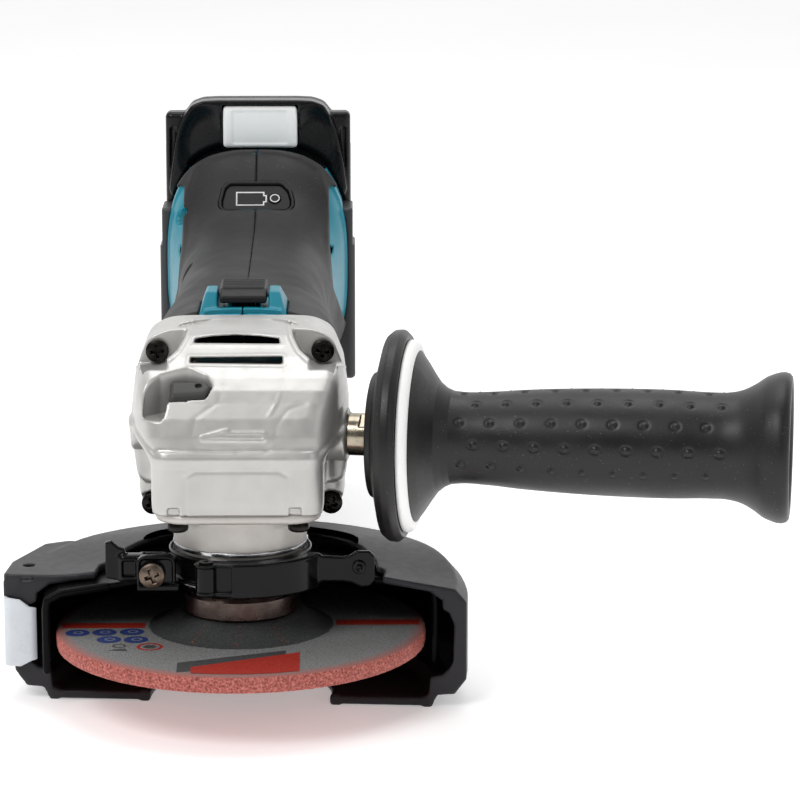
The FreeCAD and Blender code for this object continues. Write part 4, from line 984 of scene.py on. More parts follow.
def battery_face_field(p):
    """The battery's glossy front shell, with the tee that slides in the housing's rails."""
    x, y, z = p
    ax = np.abs(x)
    plate = upright(p, (-37.4, 37.4), (262.5, 268), (24.8, 122.4), 2.5, 1.0)
    ear = battery_ear(p, 268)
    ear = cut(ear, corner_blend([span(ax, 33.4, 35.6), span(z, 104, 129), y - 261.6], 1.0), 1.0)
    front = smin(smin(plate, ear, 0.8), hood_field(p), 1.0)
    tee = box(p, (-30.4, 30.4), (249.7, 257.3), (37.1, 107.8), 0.5)
    neck = box(p, (-26.4, 26.4), (249.7, 264), (37.1, 112.8), 0.5)
    front = union([front, tee, neck])
    for low in (-10.6, 9.4):
        front = cut(front, box(p, (low - 0.4, low + 1.6), (240, 259), (30, 78), 0.1), 0.2)
    front = cut(front, box(p, *RELEASE_ROOM, 1.2), 0.6)
    return np.maximum(front, y - CASE_SPLIT)


def battery_case_field(p):
    """The battery's rear shell, hollow, with ribs on its back."""
    x, y, z = p
    body = upright(p, (-37.4, 37.4), (CASE_SPLIT, 328.9), (24.8, 122.4), 5.5, 2.2)
    body = np.maximum(body, CASE_SPLIT - y)
    crown = np.maximum(hood_field(p), CASE_SPLIT - y)
    body = smin(body, crown, 1.0)
    ax = np.abs(x)
    body = smin(body, np.maximum(battery_ear(p, 269.5), CASE_SPLIT - y), 1.0)
    panel = np.abs(polygon(y, z, [(276, 42), (316, 42), (316, 106), (276, 106)], 2)) - 0.5
    body = cut(body, np.maximum(panel, 36.8 - ax), 0.4)
    seam = np.maximum(np.abs(y - 300) - 0.35, -(body + 0.6))
    body = cut(body, seam, 0.3)
    ribs = corner_blend([span(np.mod(z - 46, 8) - 4, -1.2, 1.2), span(z, 48, 100), 328.1 - y,
                         ax - 24], 0.4)
    body = cut(body, ribs, 0.3)
    inside = box(p, (-35, 35), (260, 326.5), (27.1, 118.4), 2)
    body = cut(body, inside, 0.4)
    return cut(body, box(p, *RELEASE_ROOM, 1.2), 0.6)


def release_button_field(p):
    """The white release button, with a sunk face."""
    x, y, z = p
    body = upright(p, (-14, 16), (256.2, 266), (121.1, 138.1), 1.6, 1.8)
    return cut(body, corner_blend([np.abs(x - 1) - 11, y - 256.6, span(z, 123, 136)], 0.5), 1.0)


carve("battery_front", battery_face_field, (-38.5, 248.5, 23.5), (38.5, 266.2, 143), 0.6, "battery",
      GLOSSY_CASE, ["battery_lid"])
carve("battery_body", battery_case_field, (-38.5, 264.6, 23.5), (38.5, 330.2, 143), 0.9, "battery",
      BATTERY, ["battery_case"])
carve("battery_release", release_button_field, (-15.5, 255.5, 120), (17.5, 271, 140), 0.5,
      "battery_release", WHITE, ["battery_button"])


# ---------------------------------------------------------------- wheel guard and its clamp

COVER_TURN = -5
COVER_OUT = [(25, -31.4), (64.8, -31.4), (67.2, -27.6), (72.8, -27.2), (76.8, -21.8), (76.8, 4.8),
             (72.9, 9.4), (46, 13.7), (25, 13.9)]
COVER_IN = [(25, -29.2), (62.8, -29.2), (65.2, -25.2), (71.2, -25), (74.2, -20.8), (74.2, 3.6),
            (71.6, 7.2), (46, 11.5), (25, 11.6)]
FRAME_IN = [(25, -28.3), (63.6, -28.3), (64.3, -21.2), (68.4, -20.4), (70.6, -18.4), (72, -15.8),
            (72.2, -2.9), (70.5, 0.9), (68.4, 2.2), (68.2, 5.2), (62.5, 9.2), (46, 11.5), (25, 11.6)]
EAR = [(-80.4, -6), (-48, -6), (-44, 14), (-46, 41), (-66, 42), (-73.5, 37), (-80.4, 12)]
SIDE_PLATE = [(-68, -17.4), (-68, 0.6), (-71, 0.9), (-74.4, 3.4), (-80.2, 4.2), (-80.2, -20),
              (-74.4, -20), (-70.6, -17.9)]
SHELL_LINE = [(22.9, 11.3), (35, 11.3), (46, 9.8), (61, 7.7), (65.4, 5.4), (65.9, 2), (65.9, -19)]
GUARD_TURN = 4.5
LEVER_PIVOT = (-10.5, -27)
LEVER_RIVET = (40, 18)
CLAMP_SCREW = (-28.5, 17.4)
TAB = [(24.6, 12.9), (34.5, 12.9), (37.4, 12.4), (40.6, 10.9), (43.4, 11.2), (45.2, 13.4), (45.2, 21.6),
       (43.4, 23.4), (39.4, 23.4), (36.6, 21.8), (34.6, 21.4), (24.6, 21.8)]


def cover_field(p):
    """The slip-on wheel cover: half a flat drum with a framed front, an ear and two windows."""
    x, y, z = turned(p, COVER_TURN)
    reach = np.where(y > 0, np.hypot(x, np.maximum(y, 0)), np.abs(x))
    raised = z - 3.5 * ramp(y / 45) * ramp((z + 14) / 16)
    outer = polygon(reach, raised, inset(COVER_OUT, 1.2), 1.2)
    inner = np.minimum(polygon(reach, raised, COVER_IN), polygon(reach, z, COVER_IN))
    frame = np.maximum(np.maximum(outer, -polygon(reach, z, inset(FRAME_IN, -0.4))), y + 3)
    wall = cut(outer, inner, 0.6)
    body = np.minimum(wall, frame)
    ear = corner_blend([soft_polygon(x, y, EAR, 3), span(z, 8.6, 11.6)], 0.9)
    ear = cut(ear, corner_blend([span(reach, 0, 74.5), span(z, 0, 10.6)], 0.3), 0.5)
    body = smin(body, ear, 1.2)
    skirt = corner_blend([soft_polygon(x, z, [(-80.2, 3), (-70.8, 3), (-69.6, 6.6), (-69.6, 10),
                                              (-80.2, 10)], 1.2), span(y, -5.8, -2)], 0.6)
    body = np.minimum(body, skirt)
    for foot in (-63.5, -32.6, 32.6, 63.5):
        pad = np.sqrt((x - foot) ** 2 + (z + 30.2) ** 2) - 2.1
        body = smin(body, corner_blend([pad, span(y, -5.9, 20)], 0.6), 0.8)
    body = cut(body, np.hypot(x + 73.5, y - 7) - 1.9, 0.5)
    back = polygon(x, y, [(-18, 42), (16, 42), (12, 90), (-22, 90)]) - 2
    openings = [corner_blend([reach - 46, -z], 1.5),
                corner_blend([y - 5, span(x, -48.5, 48.5), -z], 3),
                corner_blend([np.hypot(x, y) - 30.6, z], 1),
                corner_blend([span(x, -30.6, 30.6), y - 2, z], 1),
                corner_blend([back, -z], 2),
                np.maximum(corner_blend([span(x, -90, -70), span(z, -17.4, 0.6)], 1), y + 2.4)]
    body = cut(body, union(openings), 0.8)
    return corner_blend([body, -6 - y], 0.5)


def side_plate_field(p):
    """The pale steel plate folded round the cover's left front corner."""
    x, y, z = turned(p, COVER_TURN)
    skin = upright([x, y, z], (-80.4, -67.9), (-8, 30), (-30, 30), 3.2, 0.5)
    skin = cut(skin, upright([x, y, z], (-79.3, -60), (-6.8, 40), (-40, 40), 2.2, 0.5), 0.3)
    plate = corner_blend([skin, soft_polygon(x, z, SIDE_PLATE, 0.6)], 0.35)
    return smax(plate, y + 1.5 - 6 * ramp((-79 - x) / 0.4), 0.3)


def shell_field(p):
    """The pressed steel guard: a sloping top, a skirt with rolled edges and two swages."""
    x, y, z = turned(p, GUARD_TURN)
    reach = np.hypot(x, y)
    angle = np.degrees(np.arctan2(y, x))
    swage = 1.3 * bead(reach - 50, 4) * np.maximum(bead(angle - 52, 17), bead(angle - 126, 14))
    sheet = polyline(reach, z - swage, SHELL_LINE) - 0.95
    edge = np.hypot(polyline(reach, z, SHELL_LINE[2:]), y + 4.4) - 1.25
    collar = corner_blend([span(reach, 22, 27.5), span(z, 10.4, 12.35)], 0.4)
    body = corner_blend([sheet, -5.2 - y], 0.3)
    body = smin(body, np.maximum(edge, 45 - reach), 1.0)
    return np.maximum(np.minimum(body, collar), 21.75 - reach)


def band_field(p):
    """The clamp band round the neck, with a rolled lip at both edges and a gap at the pivot."""
    x, y, z = turned(p, GUARD_TURN)
    reach = np.hypot(x, y)
    band = corner_blend([span(reach, 21.66, 23.3), span(z, 12.6, 22.3)], 0.4)
    for height in (13.3, 21.6):
        band = smin(band, np.hypot(reach - 23.3, z - height) - 0.8, 0.6)
    gap = np.maximum(span(np.degrees(np.arctan2(y, x)), -122, -104) * 0.4, reach - 40)
    return cut(band, gap, 0.3)


def bracket_field(p):
    """The bracket that the clamp's adjusting screw goes through."""
    x, y, z = p
    lug = corner_blend([soft_polygon(x, z, [(-33.8, 12.4), (-20.8, 12.8), (-20.8, 23.4), (-22.4, 24.6),
                                            (-31.8, 23.8), (-33.8, 22)], 0.8), span(y, -22, -19.6)], 0.5)
    rim = corner_blend([np.abs(box([x, z, y], (-33.2, -21.4), (13.2, 23.4), (-30, 0), 2.2)) - 0.45,
                        span(y, -22.5, -19.6)], 0.3)
    lug = smin(lug, rim, 0.5)
    block = box(p, (-33, -24.4), (-20, -10), (12.7, 22.4), 0.8)
    foot = corner_blend([soft_polygon(x, z, [(-33.4, 12.62), (-19.8, 12.62), (-19.8, 14.6),
                                             (-33.4, 14.2)], 0.3), span(y, -24.6, -14)], 0.4)
    ear = corner_blend([soft_polygon(x, z, [(-44.6, 14.2), (-38, 12.9), (-38, 24), (-40.4, 25),
                                            (-42.6, 27), (-44.6, 26.6)], 0.8), span(y, -14, -11.8)], 0.6)
    bridge = box(p, (-40, -31), (-15.4, -10), (12.9, 22.4), 1.6)
    body = smin(smin(smin(lug, block, 0.8), foot, 0.8), smin(ear, bridge, 1.2), 0.8)
    groove = box(p, (-39, -34.4), (-20, -14), (15, 20.4), 0.6)
    body = cut(body, groove, 0.5)
    return cut(body, np.hypot(x - CLAMP_SCREW[0], z - CLAMP_SCREW[1]) - 2.6, 0.2)


def phillips(u, v, w, radius, height):
    """A pan head on the plane w = 0, rising to w = height, with a cross recess."""
    across = np.hypot(u, v)
    dome = corner_blend([across - radius, span(w, 0, height)], 0.45 * height)
    dome = smax(dome, across * across / (4.2 * radius) + w - height, 0.3)
    depth = np.maximum(height - w, 0)
    arm, reach = 0.13 * radius + 0.05, 0.62 * radius - 0.35 * depth
    cross = np.minimum(np.maximum(np.abs(u) - arm, np.abs(v) - reach),
                       np.maximum(np.abs(v) - arm, np.abs(u) - reach))
    return cut(dome, smax(cross, 0.3 * height - w, 0.2), 0.25)


def clamp_screw_field(p):
    """The clamp's adjusting screw, with its head turned to a slant."""
    x, y, z = p
    u, v = x - CLAMP_SCREW[0], z - CLAMP_SCREW[1] - 0.4
    head = phillips(u * 0.94 + v * 0.34, v * 0.94 - u * 0.34, -22.6 - y, 4.3, 3.4)
    return np.minimum(head, bar(p, 1, CLAMP_SCREW, 2.4, (-23, -10.4), 0.3))


def lever_field(p):
    """The quick-release lever: a channel that hooks round its pivot and ends in a thumb tab."""
    x, y, z = p
    reach = np.hypot(x, y)
    angle = np.degrees(np.arctan2(y, x))
    px, py = x - LEVER_PIVOT[0], y - LEVER_PIVOT[1]
    pivot = np.hypot(px, py)
    wall = corner_blend([span(reach, 28.1, 30.2), span(z, 11.2, 22.5), span(angle, -94, -26) * 0.45], 0.5)
    cheek = corner_blend([span(reach, 24.4, 30.0), span(z, 21.7, 22.7), span(angle, -112, -28) * 0.45], 0.3)
    top = corner_blend([pivot - 3.9, span(z, 21.7, 22.7)], 0.3)
    base = corner_blend([pivot - 3.7, span(z, 12.0, 13.4)], 0.4)
    base = np.minimum(base, corner_blend([span(reach, 27.9, 30.0), span(z, 11.6, 13.2),
                                          span(angle, -112, -90) * 0.45], 0.4))
    tube = corner_blend([np.abs(pivot - 2.75) - 0.75, span(z, 13.2, 21.8)], 0.3)
    rail = corner_blend([span(reach, 27.6, 28.6), span(z, 13, 22), span(angle, -105, -92) * 0.45], 0.2)
    tube = np.minimum(tube, rail)
    body = np.minimum(smin(wall, cheek, 0.8), smin(smin(top, base, 0.4), tube, 0.3))
    tab = corner_blend([soft_polygon(x, z, TAB, 1.0), span(y, -14.5, -12.7)], 0.6)
    body = smin(body, tab, 1.4)
    body = cut(body, pivot - 1.95, 0.2)
    return cut(body, np.hypot(x - LEVER_RIVET[0], z - LEVER_RIVET[1]) - 1.7, 0.15)


def rivet_field(p):
    """The dished rivet through the lever's thumb tab."""
    x, y, z = p
    across = np.hypot(x - LEVER_RIVET[0], z - LEVER_RIVET[1])
    head = corner_blend([across - 2.3, span(y, -15.6, -14.6)], 0.4)
    head = cut(head, np.sqrt(across ** 2 + (y + 16.2) ** 2) - 1.25, 0.3)
    return np.minimum(head, corner_blend([across - 1.5, span(y, -15, -12.2)], 0.2))


def lever_pin_field(p):
    """The pin that the lever turns on."""
    across = np.hypot(p[0] - LEVER_PIVOT[0], p[1] - LEVER_PIVOT[1])
    head = corner_blend([across - 2.5, span(p[2], 22.75, 23.4)], 0.3)
    head = cut(head, across - 1.2 + np.abs(p[2] - 23.6), 0.2)
    return np.minimum(head, bar(p, 2, LEVER_PIVOT, 1.75, (12.6, 23), 0.2))


carve("cover", cover_field, (-81.5, -14, -33.5), (81.5, 81, 15.5), 0.75, "wheel_cover", SATIN,
      ["guard_cover"])
carve("cover_plate", side_plate_field, (-82.5, -7, -22), (-66, 14, 6), 0.4, "wheel_cover", PALE,
      ["cover_side_plate"])
carve("guard_shell_skin", shell_field, (-69, -12, -21), (69, 69, 14), 0.65, "guard", PRESSED,
      ["guard_shell"])
carve("clamp_band", band_field, (-25, -25, 12), (25, 25, 23), 0.4, "guard", PAINTED,
      ["guard_band"])
carve("clamp_lug", bracket_field, (-46, -26, 12), (-19, -7, 28.5), 0.3, "guard", PAINTED,
      ["clamp_bracket"])
carve("clamp_lug_screw", clamp_screw_field, (-33.5, -27, 12.5), (-23.5, -9, 23), 0.2, "guard", BRONZE,
      ["clamp_screw"])
carve("clamp_lever_skin", lever_field, (-16, -34, 10), (47, -9, 25), 0.3, "clamp_lever", PAINTED,
      ["guard_lever"])
carve("clamp_lever_rivet", rivet_field, (37, -16.2, 15), (43, -11.8, 21), 0.15, "clamp_lever",
      PAINTED, ["lever_rivet"])
carve("clamp_lever_pin", lever_pin_field, (-14, -30.5, 12), (-7, -23.5, 24), 0.2, "guard", PAINTED,
      ["lever_pin"])


# ---------------------------------------------------------------- wheel, flange, neck and screws

LABEL_Z = -5.55
LABEL_R = 60.4
WHEEL_PROFILE = [(11.3, -0.05), (20.4, -0.05), (21.5, -0.6), (28.2, -5.0), (30.5, -5.6), (45, -5.6),
                 (59, -5.6), (61.6, -5.7), (62.3, -6.3), (62.45, -8), (62.45, -9.6), (62.3, -11),
                 (61.6, -11.55), (45, -11.6), (30, -11.6), (27, -11), (20.5, -6.2), (11.3, -6.0)]
# the hub's upper side again, as radii and heights
HUB_SLOPE = ([20.4, 21.5, 28.2, 30.5], [-0.05, -0.6, -5.0, -5.6])


def abrasive(name):
    """Bonded grain: pink and dark specks, deeply pitted, with a printed label on the upper face."""
    f = Finish(name, 0.75)
    split = f.node("ShaderNodeSeparateXYZ")
    f.link(f.where, split.inputs[0])
    flat = f.node("ShaderNodeCombineXYZ")
    f.link(split.outputs[0], flat.inputs[0])
    f.link(split.outputs[1], flat.inputs[1])
    length = f.node("ShaderNodeVectorMath", operation="LENGTH")
    f.link(flat.outputs[0], length.inputs[0])
    grit = f.noise(0.75, 3)
    wobble = f.node("ShaderNodeMath", operation="MULTIPLY_ADD")
    wobble.inputs[1].default_value = 0.0016
    f.link(f.noise(1.6, 2), wobble.inputs[0])
    f.link(length.outputs["Value"], wobble.inputs[2])
    grain = f.ramp(grit, [(0.34, rgb(122, 58, 52)), (0.5, rgb(172, 90, 81)), (0.66, rgb(200, 124, 113))])
    paper = f.ramp(f.noise(0.6, 2), [(0.3, rgb(96, 96, 96)), (0.7, rgb(138, 138, 137))])
    fade = f.number(wobble.outputs[0], 0, 1, 0.0588, 0.0626)
    paper = f.mix(fade, paper, rgb(150, 98, 92))
    hub = f.ramp(f.noise(0.8, 2), [(0.3, rgb(52, 53, 54)), (0.7, rgb(70, 71, 72))])
    top = f.mix(f.number(wobble.outputs[0], 0, 1, 0.0318, 0.0322), hub, paper)
    side = f.node("ShaderNodeNewGeometry")
    facing = f.node("ShaderNodeSeparateXYZ")
    f.link(side.outputs["Normal"], facing.inputs[0])
    colour = f.mix(f.number(facing.outputs[2], 0, 1, 0.55, 0.75), grain, top)
    f.bump(grit, 0.35, 0.8)
    return f.done(colour, f.number(grit, 0.6, 0.85))


def printed(name, colour):
    """Ink on the rough label, worn through in specks."""
    f = Finish(name, 0.6)
    worn = f.ramp(f.noise(0.6, 2), [(0.3, shade(colour, 0.72)), (0.62, colour), (0.8, shade(colour, 1.5))])
    f.bump(f.noise(0.7, 3), 0.2)
    return f.done(worn, f.number(f.noise(2), 0.5, 0.7))


ABRASIVE = abrasive("abrasive_grain")
INK_RED = printed("label_red", rgb(168, 40, 24))
INK_BLUE = printed("label_blue", rgb(40, 58, 118))
INK_GREY = printed("label_dark", rgb(66, 66, 67))
INK_SIGN = printed("label_pale", rgb(112, 118, 140))
CHIPS = printed("label_chips", rgb(196, 128, 96))


def flat_shape(name, outlines, height, material, holes=()):
    """Thin printed shapes lying on the wheel's label; an outline may leave a hole inside."""
    verts, faces = [], []
    for outline, hole in zip(outlines, list(holes) + [None] * len(outlines)):
        ring = [np.array(point, dtype=float) for point in outline]
        middle = sum(ring) / len(ring)
        inner = [middle + (point - middle) * (hole or 0.001) for point in ring]
        base, count = len(verts), len(ring)
        verts += [(*point, height) for point in ring + inner]
        for i in range(count):
            j = (i + 1) % count
            faces.append((base + i, base + j, base + count + j, base + count + i))
    obj = new_object(name, lift(verts), faces, smooth=False)
    return dress(obj, "spindle", material, ())


def disc(cx, cy, r, count=40):
    """A round outline, or a regular polygon when count is small."""
    turn = np.linspace(0, 2 * math.pi, count, endpoint=False)
    return [(cx + r * math.cos(a), cy + r * math.sin(a)) for a in turn]


def band_outline(x0, x1, low, high):
    """A strip across the label between two heights, clipped round at the wheel's edge."""
    outline = [(x, low) for x in np.linspace(x0, x1, 12)]
    outline += [(x, high) for x in np.linspace(x1, x0, 12)]
    return [(x, y) if math.hypot(x, y) < LABEL_R
            else tuple(np.array((x, y)) * LABEL_R / math.hypot(x, y)) for x, y in outline]


def make_wheel(roll):
    """The depressed-centre wheel, with its rim roughened by random nudges."""
    def roughen(verts):
        reach = np.hypot(verts[:, 0], verts[:, 1])
        nudge = 1 + (reach > 61) * roll.normal(0, 0.0012, len(verts))
        verts[:, :2] *= nudge[:, None]
        return verts

    lathe("abrasive_wheel", WHEEL_PROFILE[::-1], 720, "spindle", ABRASIVE, ["grinding_wheel"],
          bend=roughen)


def print_label():
    """The plain shapes printed on the wheel, where a label would be."""
    left = band_outline(-61.5, -32.4, -4.9, 1.2)
    right = band_outline(32.2, 61.5, -2.0, 4.4)
    flat_shape("label_bands", [left, right], LABEL_Z, INK_RED)
    blues = [(-54.6, -10.8), (-45.6, -10.3), (-36.4, -9.7), (-43.5, -19.0), (-34.5, -19.1)]
    flat_shape("label_discs", [disc(x, y, 4.1) for x, y in blues], LABEL_Z, INK_BLUE)
    glyphs = [disc(x + 0.3, y + 0.2, 2.0, 5 + i) for i, (x, y) in enumerate(blues)]
    flat_shape("label_disc_signs", glyphs, LABEL_Z + 0.05, INK_SIGN, [0.55] * 5)
    flat_shape("label_ring", [disc(-29.4, -27.7, 4.4)], LABEL_Z, INK_RED, [0.74])
    signs = [disc(-29.4, -27.7, 2.3, 6), disc(-39.6, -26.6, 2.4, 9),
             [(-43, -32.0), (-36.5, -32.6), (-37.5, -29.6), (-41, -30.6)]]
    flat_shape("label_dark_signs", signs, LABEL_Z, INK_GREY, [None, 0.7, None])
    shadow = [(-19.4, -46.4), (-19.2, -57.2), (15.6, -50), (15.8, -32.6)]
    flat_shape("label_shadow", [shadow], LABEL_Z, INK_GREY)
    wedge = [(-14.8, -51.6), (-14.6, -58.4), (-6, -59.6), (4, -59.8), (12, -58.8), (20.6, -56.4),
             (20.4, -34.8)]
    flat_shape("label_wedge", [wedge], LABEL_Z + 0.05, INK_RED)


def scatter_chips(roll):
    """Rows of small bright chips in the sunk hub, where the moulded paper has cracked."""
    verts, faces = [], []
    for angle in (-91, -122, -58, 62, 128):
        for _ in range(26):
            r = roll.uniform(21.5, 30)
            a = math.radians(angle + roll.normal(0, 1.4))
            size = roll.uniform(0.12, 0.42)
            x, y = r * math.cos(a), r * math.sin(a)
            z = np.interp(math.hypot(x, y), *HUB_SLOPE) + 0.06
            base = len(verts)
            verts += [(x - size, y, z), (x, y - size, z + 0.1), (x + size, y, z),
                      (x, y + size, z + 0.1)]
            faces.append((base, base + 1, base + 2, base + 3))
    chips = new_object("hub_chips", lift(verts), faces, smooth=False)
    dress(chips, "spindle", CHIPS, ())


def nut_field(p):
    """The stepped lock nut under the wheel, with its two pin holes."""
    x, y, z = p
    reach = np.hypot(x, y)
    nut = smin(corner_blend([reach - 17, span(z, -8.6, -6.05)], 0.5),
               corner_blend([reach - 14, span(z, -12.4, -6.05)], 0.6), 0.5)
    for side in (-10.5, 10.5):
        nut = cut(nut, np.maximum(np.hypot(x, y - side) - 1.8, z + 7.2), 0.3)
    return smax(nut, 7.1 - reach, 0.4)


def bearing_box_field(p):
    """The rough cast neck, its machined collar and the plate that the head screws to."""
    x, y, z = p
    reach = np.hypot(x, y)
    slab = upright(p, (-27.4, 27.4), (-27.4, 23.9), (35.6, 38.75), 11, 1.2)
    neck = corner_blend([reach - 22.4, span(z, 24.4, 38.4)], 0.3)
    body = smin(slab, neck, 1.6)
    collar = corner_blend([reach - 21.46, span(z, 11.05, 24.6)], 0.4)
    body = np.minimum(body, collar)
    bore = np.where(z > 23.1, 16.05, 13.05)
    body = smax(body, bore - reach, 0.2)
    for sx, sy in BOX_SCREWS:
        body = cut(body, np.hypot(x - sx, y - sy) - 2.05, 0.2)
        body = cut(body, np.maximum(np.hypot(x - sx, y - sy) - 4.1, z - 35.5), 0.3)
    return body


def box_screws_field(p):
    """The four screws that hold the neck to the head, from below."""
    x, y, z = p
    heads = [phillips(x - sx, y - sy, 35.45 - z, 3.6, 4.0) for sx, sy in BOX_SCREWS]
    return union(heads + [bar(p, 2, spot, 1.95, (35, 48.3), 0.2) for spot in BOX_SCREWS])


def head_screw(sx, sy, sz):
    """A pan head screw that holds the head to the housing, turned by its own amount."""
    def field(p):
        x, y, z = p
        c, s = math.cos(0.5 * sx), math.sin(0.5 * sx)
        u, v = (x - sx) * c + (z - sz) * s, (z - sz) * c - (x - sx) * s
        head = phillips(u, v, sy - y, 3.95, 3.3)
        return np.minimum(head, bar(p, 1, (sx, sz), 1.95, (sy - 0.4, 52), 0.2))
    return field


FLANGE_PROFILE = [(7.05, -2.5), (10.95, -2.5), (10.95, 0.03), (19.0, 0.03), (19.7, 0.8), (19.7, 6.8),
                  (18.6, 7.95), (7.05, 7.95)]


ROLL = np.random.default_rng(5)
make_wheel(ROLL)
print_label()
scatter_chips(ROLL)
lathe("flange_ring", rounded(FLANGE_PROFILE, [0, 0.3, 0, 0.4, 0.4, 0.5, 0.5, 0]), 180, "spindle",
      FLANGE, ["inner_flange"])
carve("outer_nut", nut_field, (-18, -18, -13.2), (18, 18, -5.4), 0.4, "spindle", FLANGE,
      ["lock_nut"])
carve("neck_casting", bearing_box_field, (-29, -29, 10.4), (29, 25, 39.4), 0.5, "tool", NECK_CAST,
      ["bearing_box"])
lathe("neck_ring", rounded([(21.5, 23.2), (22.6, 23.2), (22.6, 24.7), (21.5, 24.7)], [0, 0.3, 0.3, 0]),
      180, "tool", BEARING, ["bearing_box"])
carve("neck_screws", box_screws_field, (-24.5, -24.5, 30.9), (24.5, 24.5, 49), 0.3, "tool", SCREW,
      ["bearing_box_screws"])
for level, pair in (("upper", UPPER_SCREWS), ("lower", LOWER_SCREWS)):
    for side, (sx, sy, sz) in zip(("left", "right"), pair):
        carve(f"head_screw_{level}_{side}", head_screw(sx, sy, sz), (sx - 5, 12, sz - 5),
              (sx + 5, 53, sz + 5), 0.25, "tool", SCREW, ["gear_housing_screws"])


# ---------------------------------------------------------------- side handle

GRIP_STATIONS = [(71, 15.7), (76, 15.2), (84, 15.5), (96, 16.5), (110, 17.3), (125, 17.8), (145, 17.9),
                 (158, 17.5), (163, 17.6), (168, 18.7), (172, 20.8), (175.5, 23.2), (178.5, 24.4)]
# (radius, distance along the handle) of the guard disc, with the rounding of each corner
DISC_PROFILE = [(4.3, 47), (4.3, 44.6), (14, 44.6), (20.5, 45.2), (21.6, 47.4), (27, 48.6),
                (33.4, 50.2), (35.2, 52.4), (35.4, 55.2), (33.6, 57.0), (32.2, 57.0), (29.0, 57.2),
                (28.6, 60.6), (27.4, 61.4), (25.2, 63), (21.5, 65.4), (18.4, 67.6), (16.5, 70),
                (15.4, 72.5), (4.3, 72.5)]
DISC_CORNERS = [0, 0, 1, 1.2, 1.2, 2, 1.5, 1.5, 1.5, 0.5, 0.3, 0.3, 0.8, 1, 2, 2, 2, 2, 0.3, 0]
RING_PROFILE = [(27.6, 57.25), (32.1, 57.25), (32.0, 58.6), (30.9, 60.1), (29.2, 60.7), (27.6, 60.3)]
GRIP_END = [(24.75, 179.8), (24.85, 181.4), (24.4, 182.9), (23.4, 183.7), (22.0, 183.9),
            (20.8, 183.5), (20.0, 182.6), (18.6, 181.3), (16.5, 180.9), (9, 180.8), (0.4, 180.8),
            (0.4, 90.5), (4.2, 90.5), (4.2, 71.6)]
NUB_ANGLES = [101, 128.5, 156, 183.5, 211, 238.5, 266, 293.5]


def on_handle(verts):
    """Lay a piece turned about Z onto the handle's leaning axis."""
    a = math.radians(HANDLE_LEAN)
    y, z, x = verts.T
    return np.stack([x * math.cos(a) - y * math.sin(a), x * math.sin(a) + y * math.cos(a),
                     z + HANDLE_Z], 1)


def nubs(verts):
    """Raise rows of small ringed nubs on the grip. Height runs along the handle here."""
    height, turn = verts[:, 2], np.degrees(np.arctan2(verts[:, 0], -verts[:, 1])) % 360
    reach = np.hypot(verts[:, 0], verts[:, 1])
    lift_by = np.zeros(len(verts))
    for row, angle in enumerate(NUB_ANGLES):
        for i in range(9):
            place = 80.5 + 10.1 * i - (4.5 if row % 2 else 0)
            off = (turn - angle + 180) % 360 - 180
            away = np.hypot(height - place, np.radians(off) * reach)
            lift_by += 0.55 * bead(away, 0.75) - 0.28 * bead(away - 1.35, 0.4)
    outer = (reach > 14) & (height > 72) & (height < 166)
    scale = 1 + outer * lift_by / np.maximum(reach, 1)
    verts[:, :2] *= scale[:, None]
    return verts


def sleeve_field(p):
    """The nickel sleeve between head and handle, with two flats for a spanner."""
    q = turned(p, HANDLE_LEAN)
    reach = np.hypot(q[1], q[2] - HANDLE_Z)
    body = corner_blend([reach - 7.1, span(q[0], 37.3, 46.8)], 0.3)
    flats = corner_blend([6.35 - np.abs(q[2] - HANDLE_Z - 0.6 * q[1]) / 1.166,
                          q[0] - 50, 41.5 - q[0]], 0.1)
    return smax(cut(body, flats, 0.3), 4.05 - reach, 0.2)


def make_grip():
    """The grip: its long side from stations, then its rolled end and its bore."""
    heights = np.concatenate([np.arange(71.6, 176, 0.55), [176.5, 177.5, 178.5]])
    side = [(float(r), float(h)) for r, h in zip(along(heights, GRIP_STATIONS, 1), heights)]
    lathe("handle_body", side + GRIP_END, 400, "side_handle", HANDLE_RUBBER, ["handle_grip"],
          bend=nubs, place=on_handle)


lathe("handle_disc", rounded(DISC_PROFILE, DISC_CORNERS, 5), 240, "side_handle", HANDLE_RUBBER,
      ["handle_flange"], place=on_handle)
lathe("handle_disc_ring", RING_PROFILE, 180, "side_handle", WHITE, ["handle_ring"],
      place=on_handle)
make_grip()
carve("handle_collar", sleeve_field, (34, -16, 52), (50, 4, 71), 0.3, "side_handle", NICKEL,
      ["handle_sleeve"])


# ---------------------------------------------------------------- the parts held inside

def housing_screws_field(p):
    """The screws that hold the housing's halves together."""
    x, y, z = p
    heads = [phillips(y - sy, z - sz, -16.05 - x, 3.15, 2.3) for sy, sz in HOUSING_SCREWS]
    return union(heads + [bar(p, 0, spot, 1.75, (-16.4, 13.9), 0.2) for spot in HOUSING_SCREWS])


for number, (sy, sz) in enumerate(HOUSING_SCREWS):
    carve(f"shell_screw_{number}", housing_screws_field, (-19, sy - 4, sz - 4),
          (15, sy + 4, sz + 4), 0.3, "tool", SCREW, ["housing_screws"])

COPPER = steel("copper_wire", rgb(176, 98, 58), 0.35, 0.06, (0.4, 4, 4), 0.55)
BRASS = steel("brass_contact", rgb(196, 158, 84), 0.3, 0.01, dark=0.7)
LAMINATION = steel("laminations", rgb(134, 134, 138), 0.42, 0.08, (0.2, 6, 0.2), 0.7)
CELL = plastic("cell_wrap", rgb(48, 108, 150), 0.3, 0.05, 2.0, 0.01, 1.2)
POTTING = plastic("potting", rgb(58, 60, 58), 0.6, 0.12, 1.5, 0.08, 1.3)
WIRE = plastic("wire_insulation", rgb(150, 34, 30), 0.4, 0.1, 1.0, 0.02, 1.3)
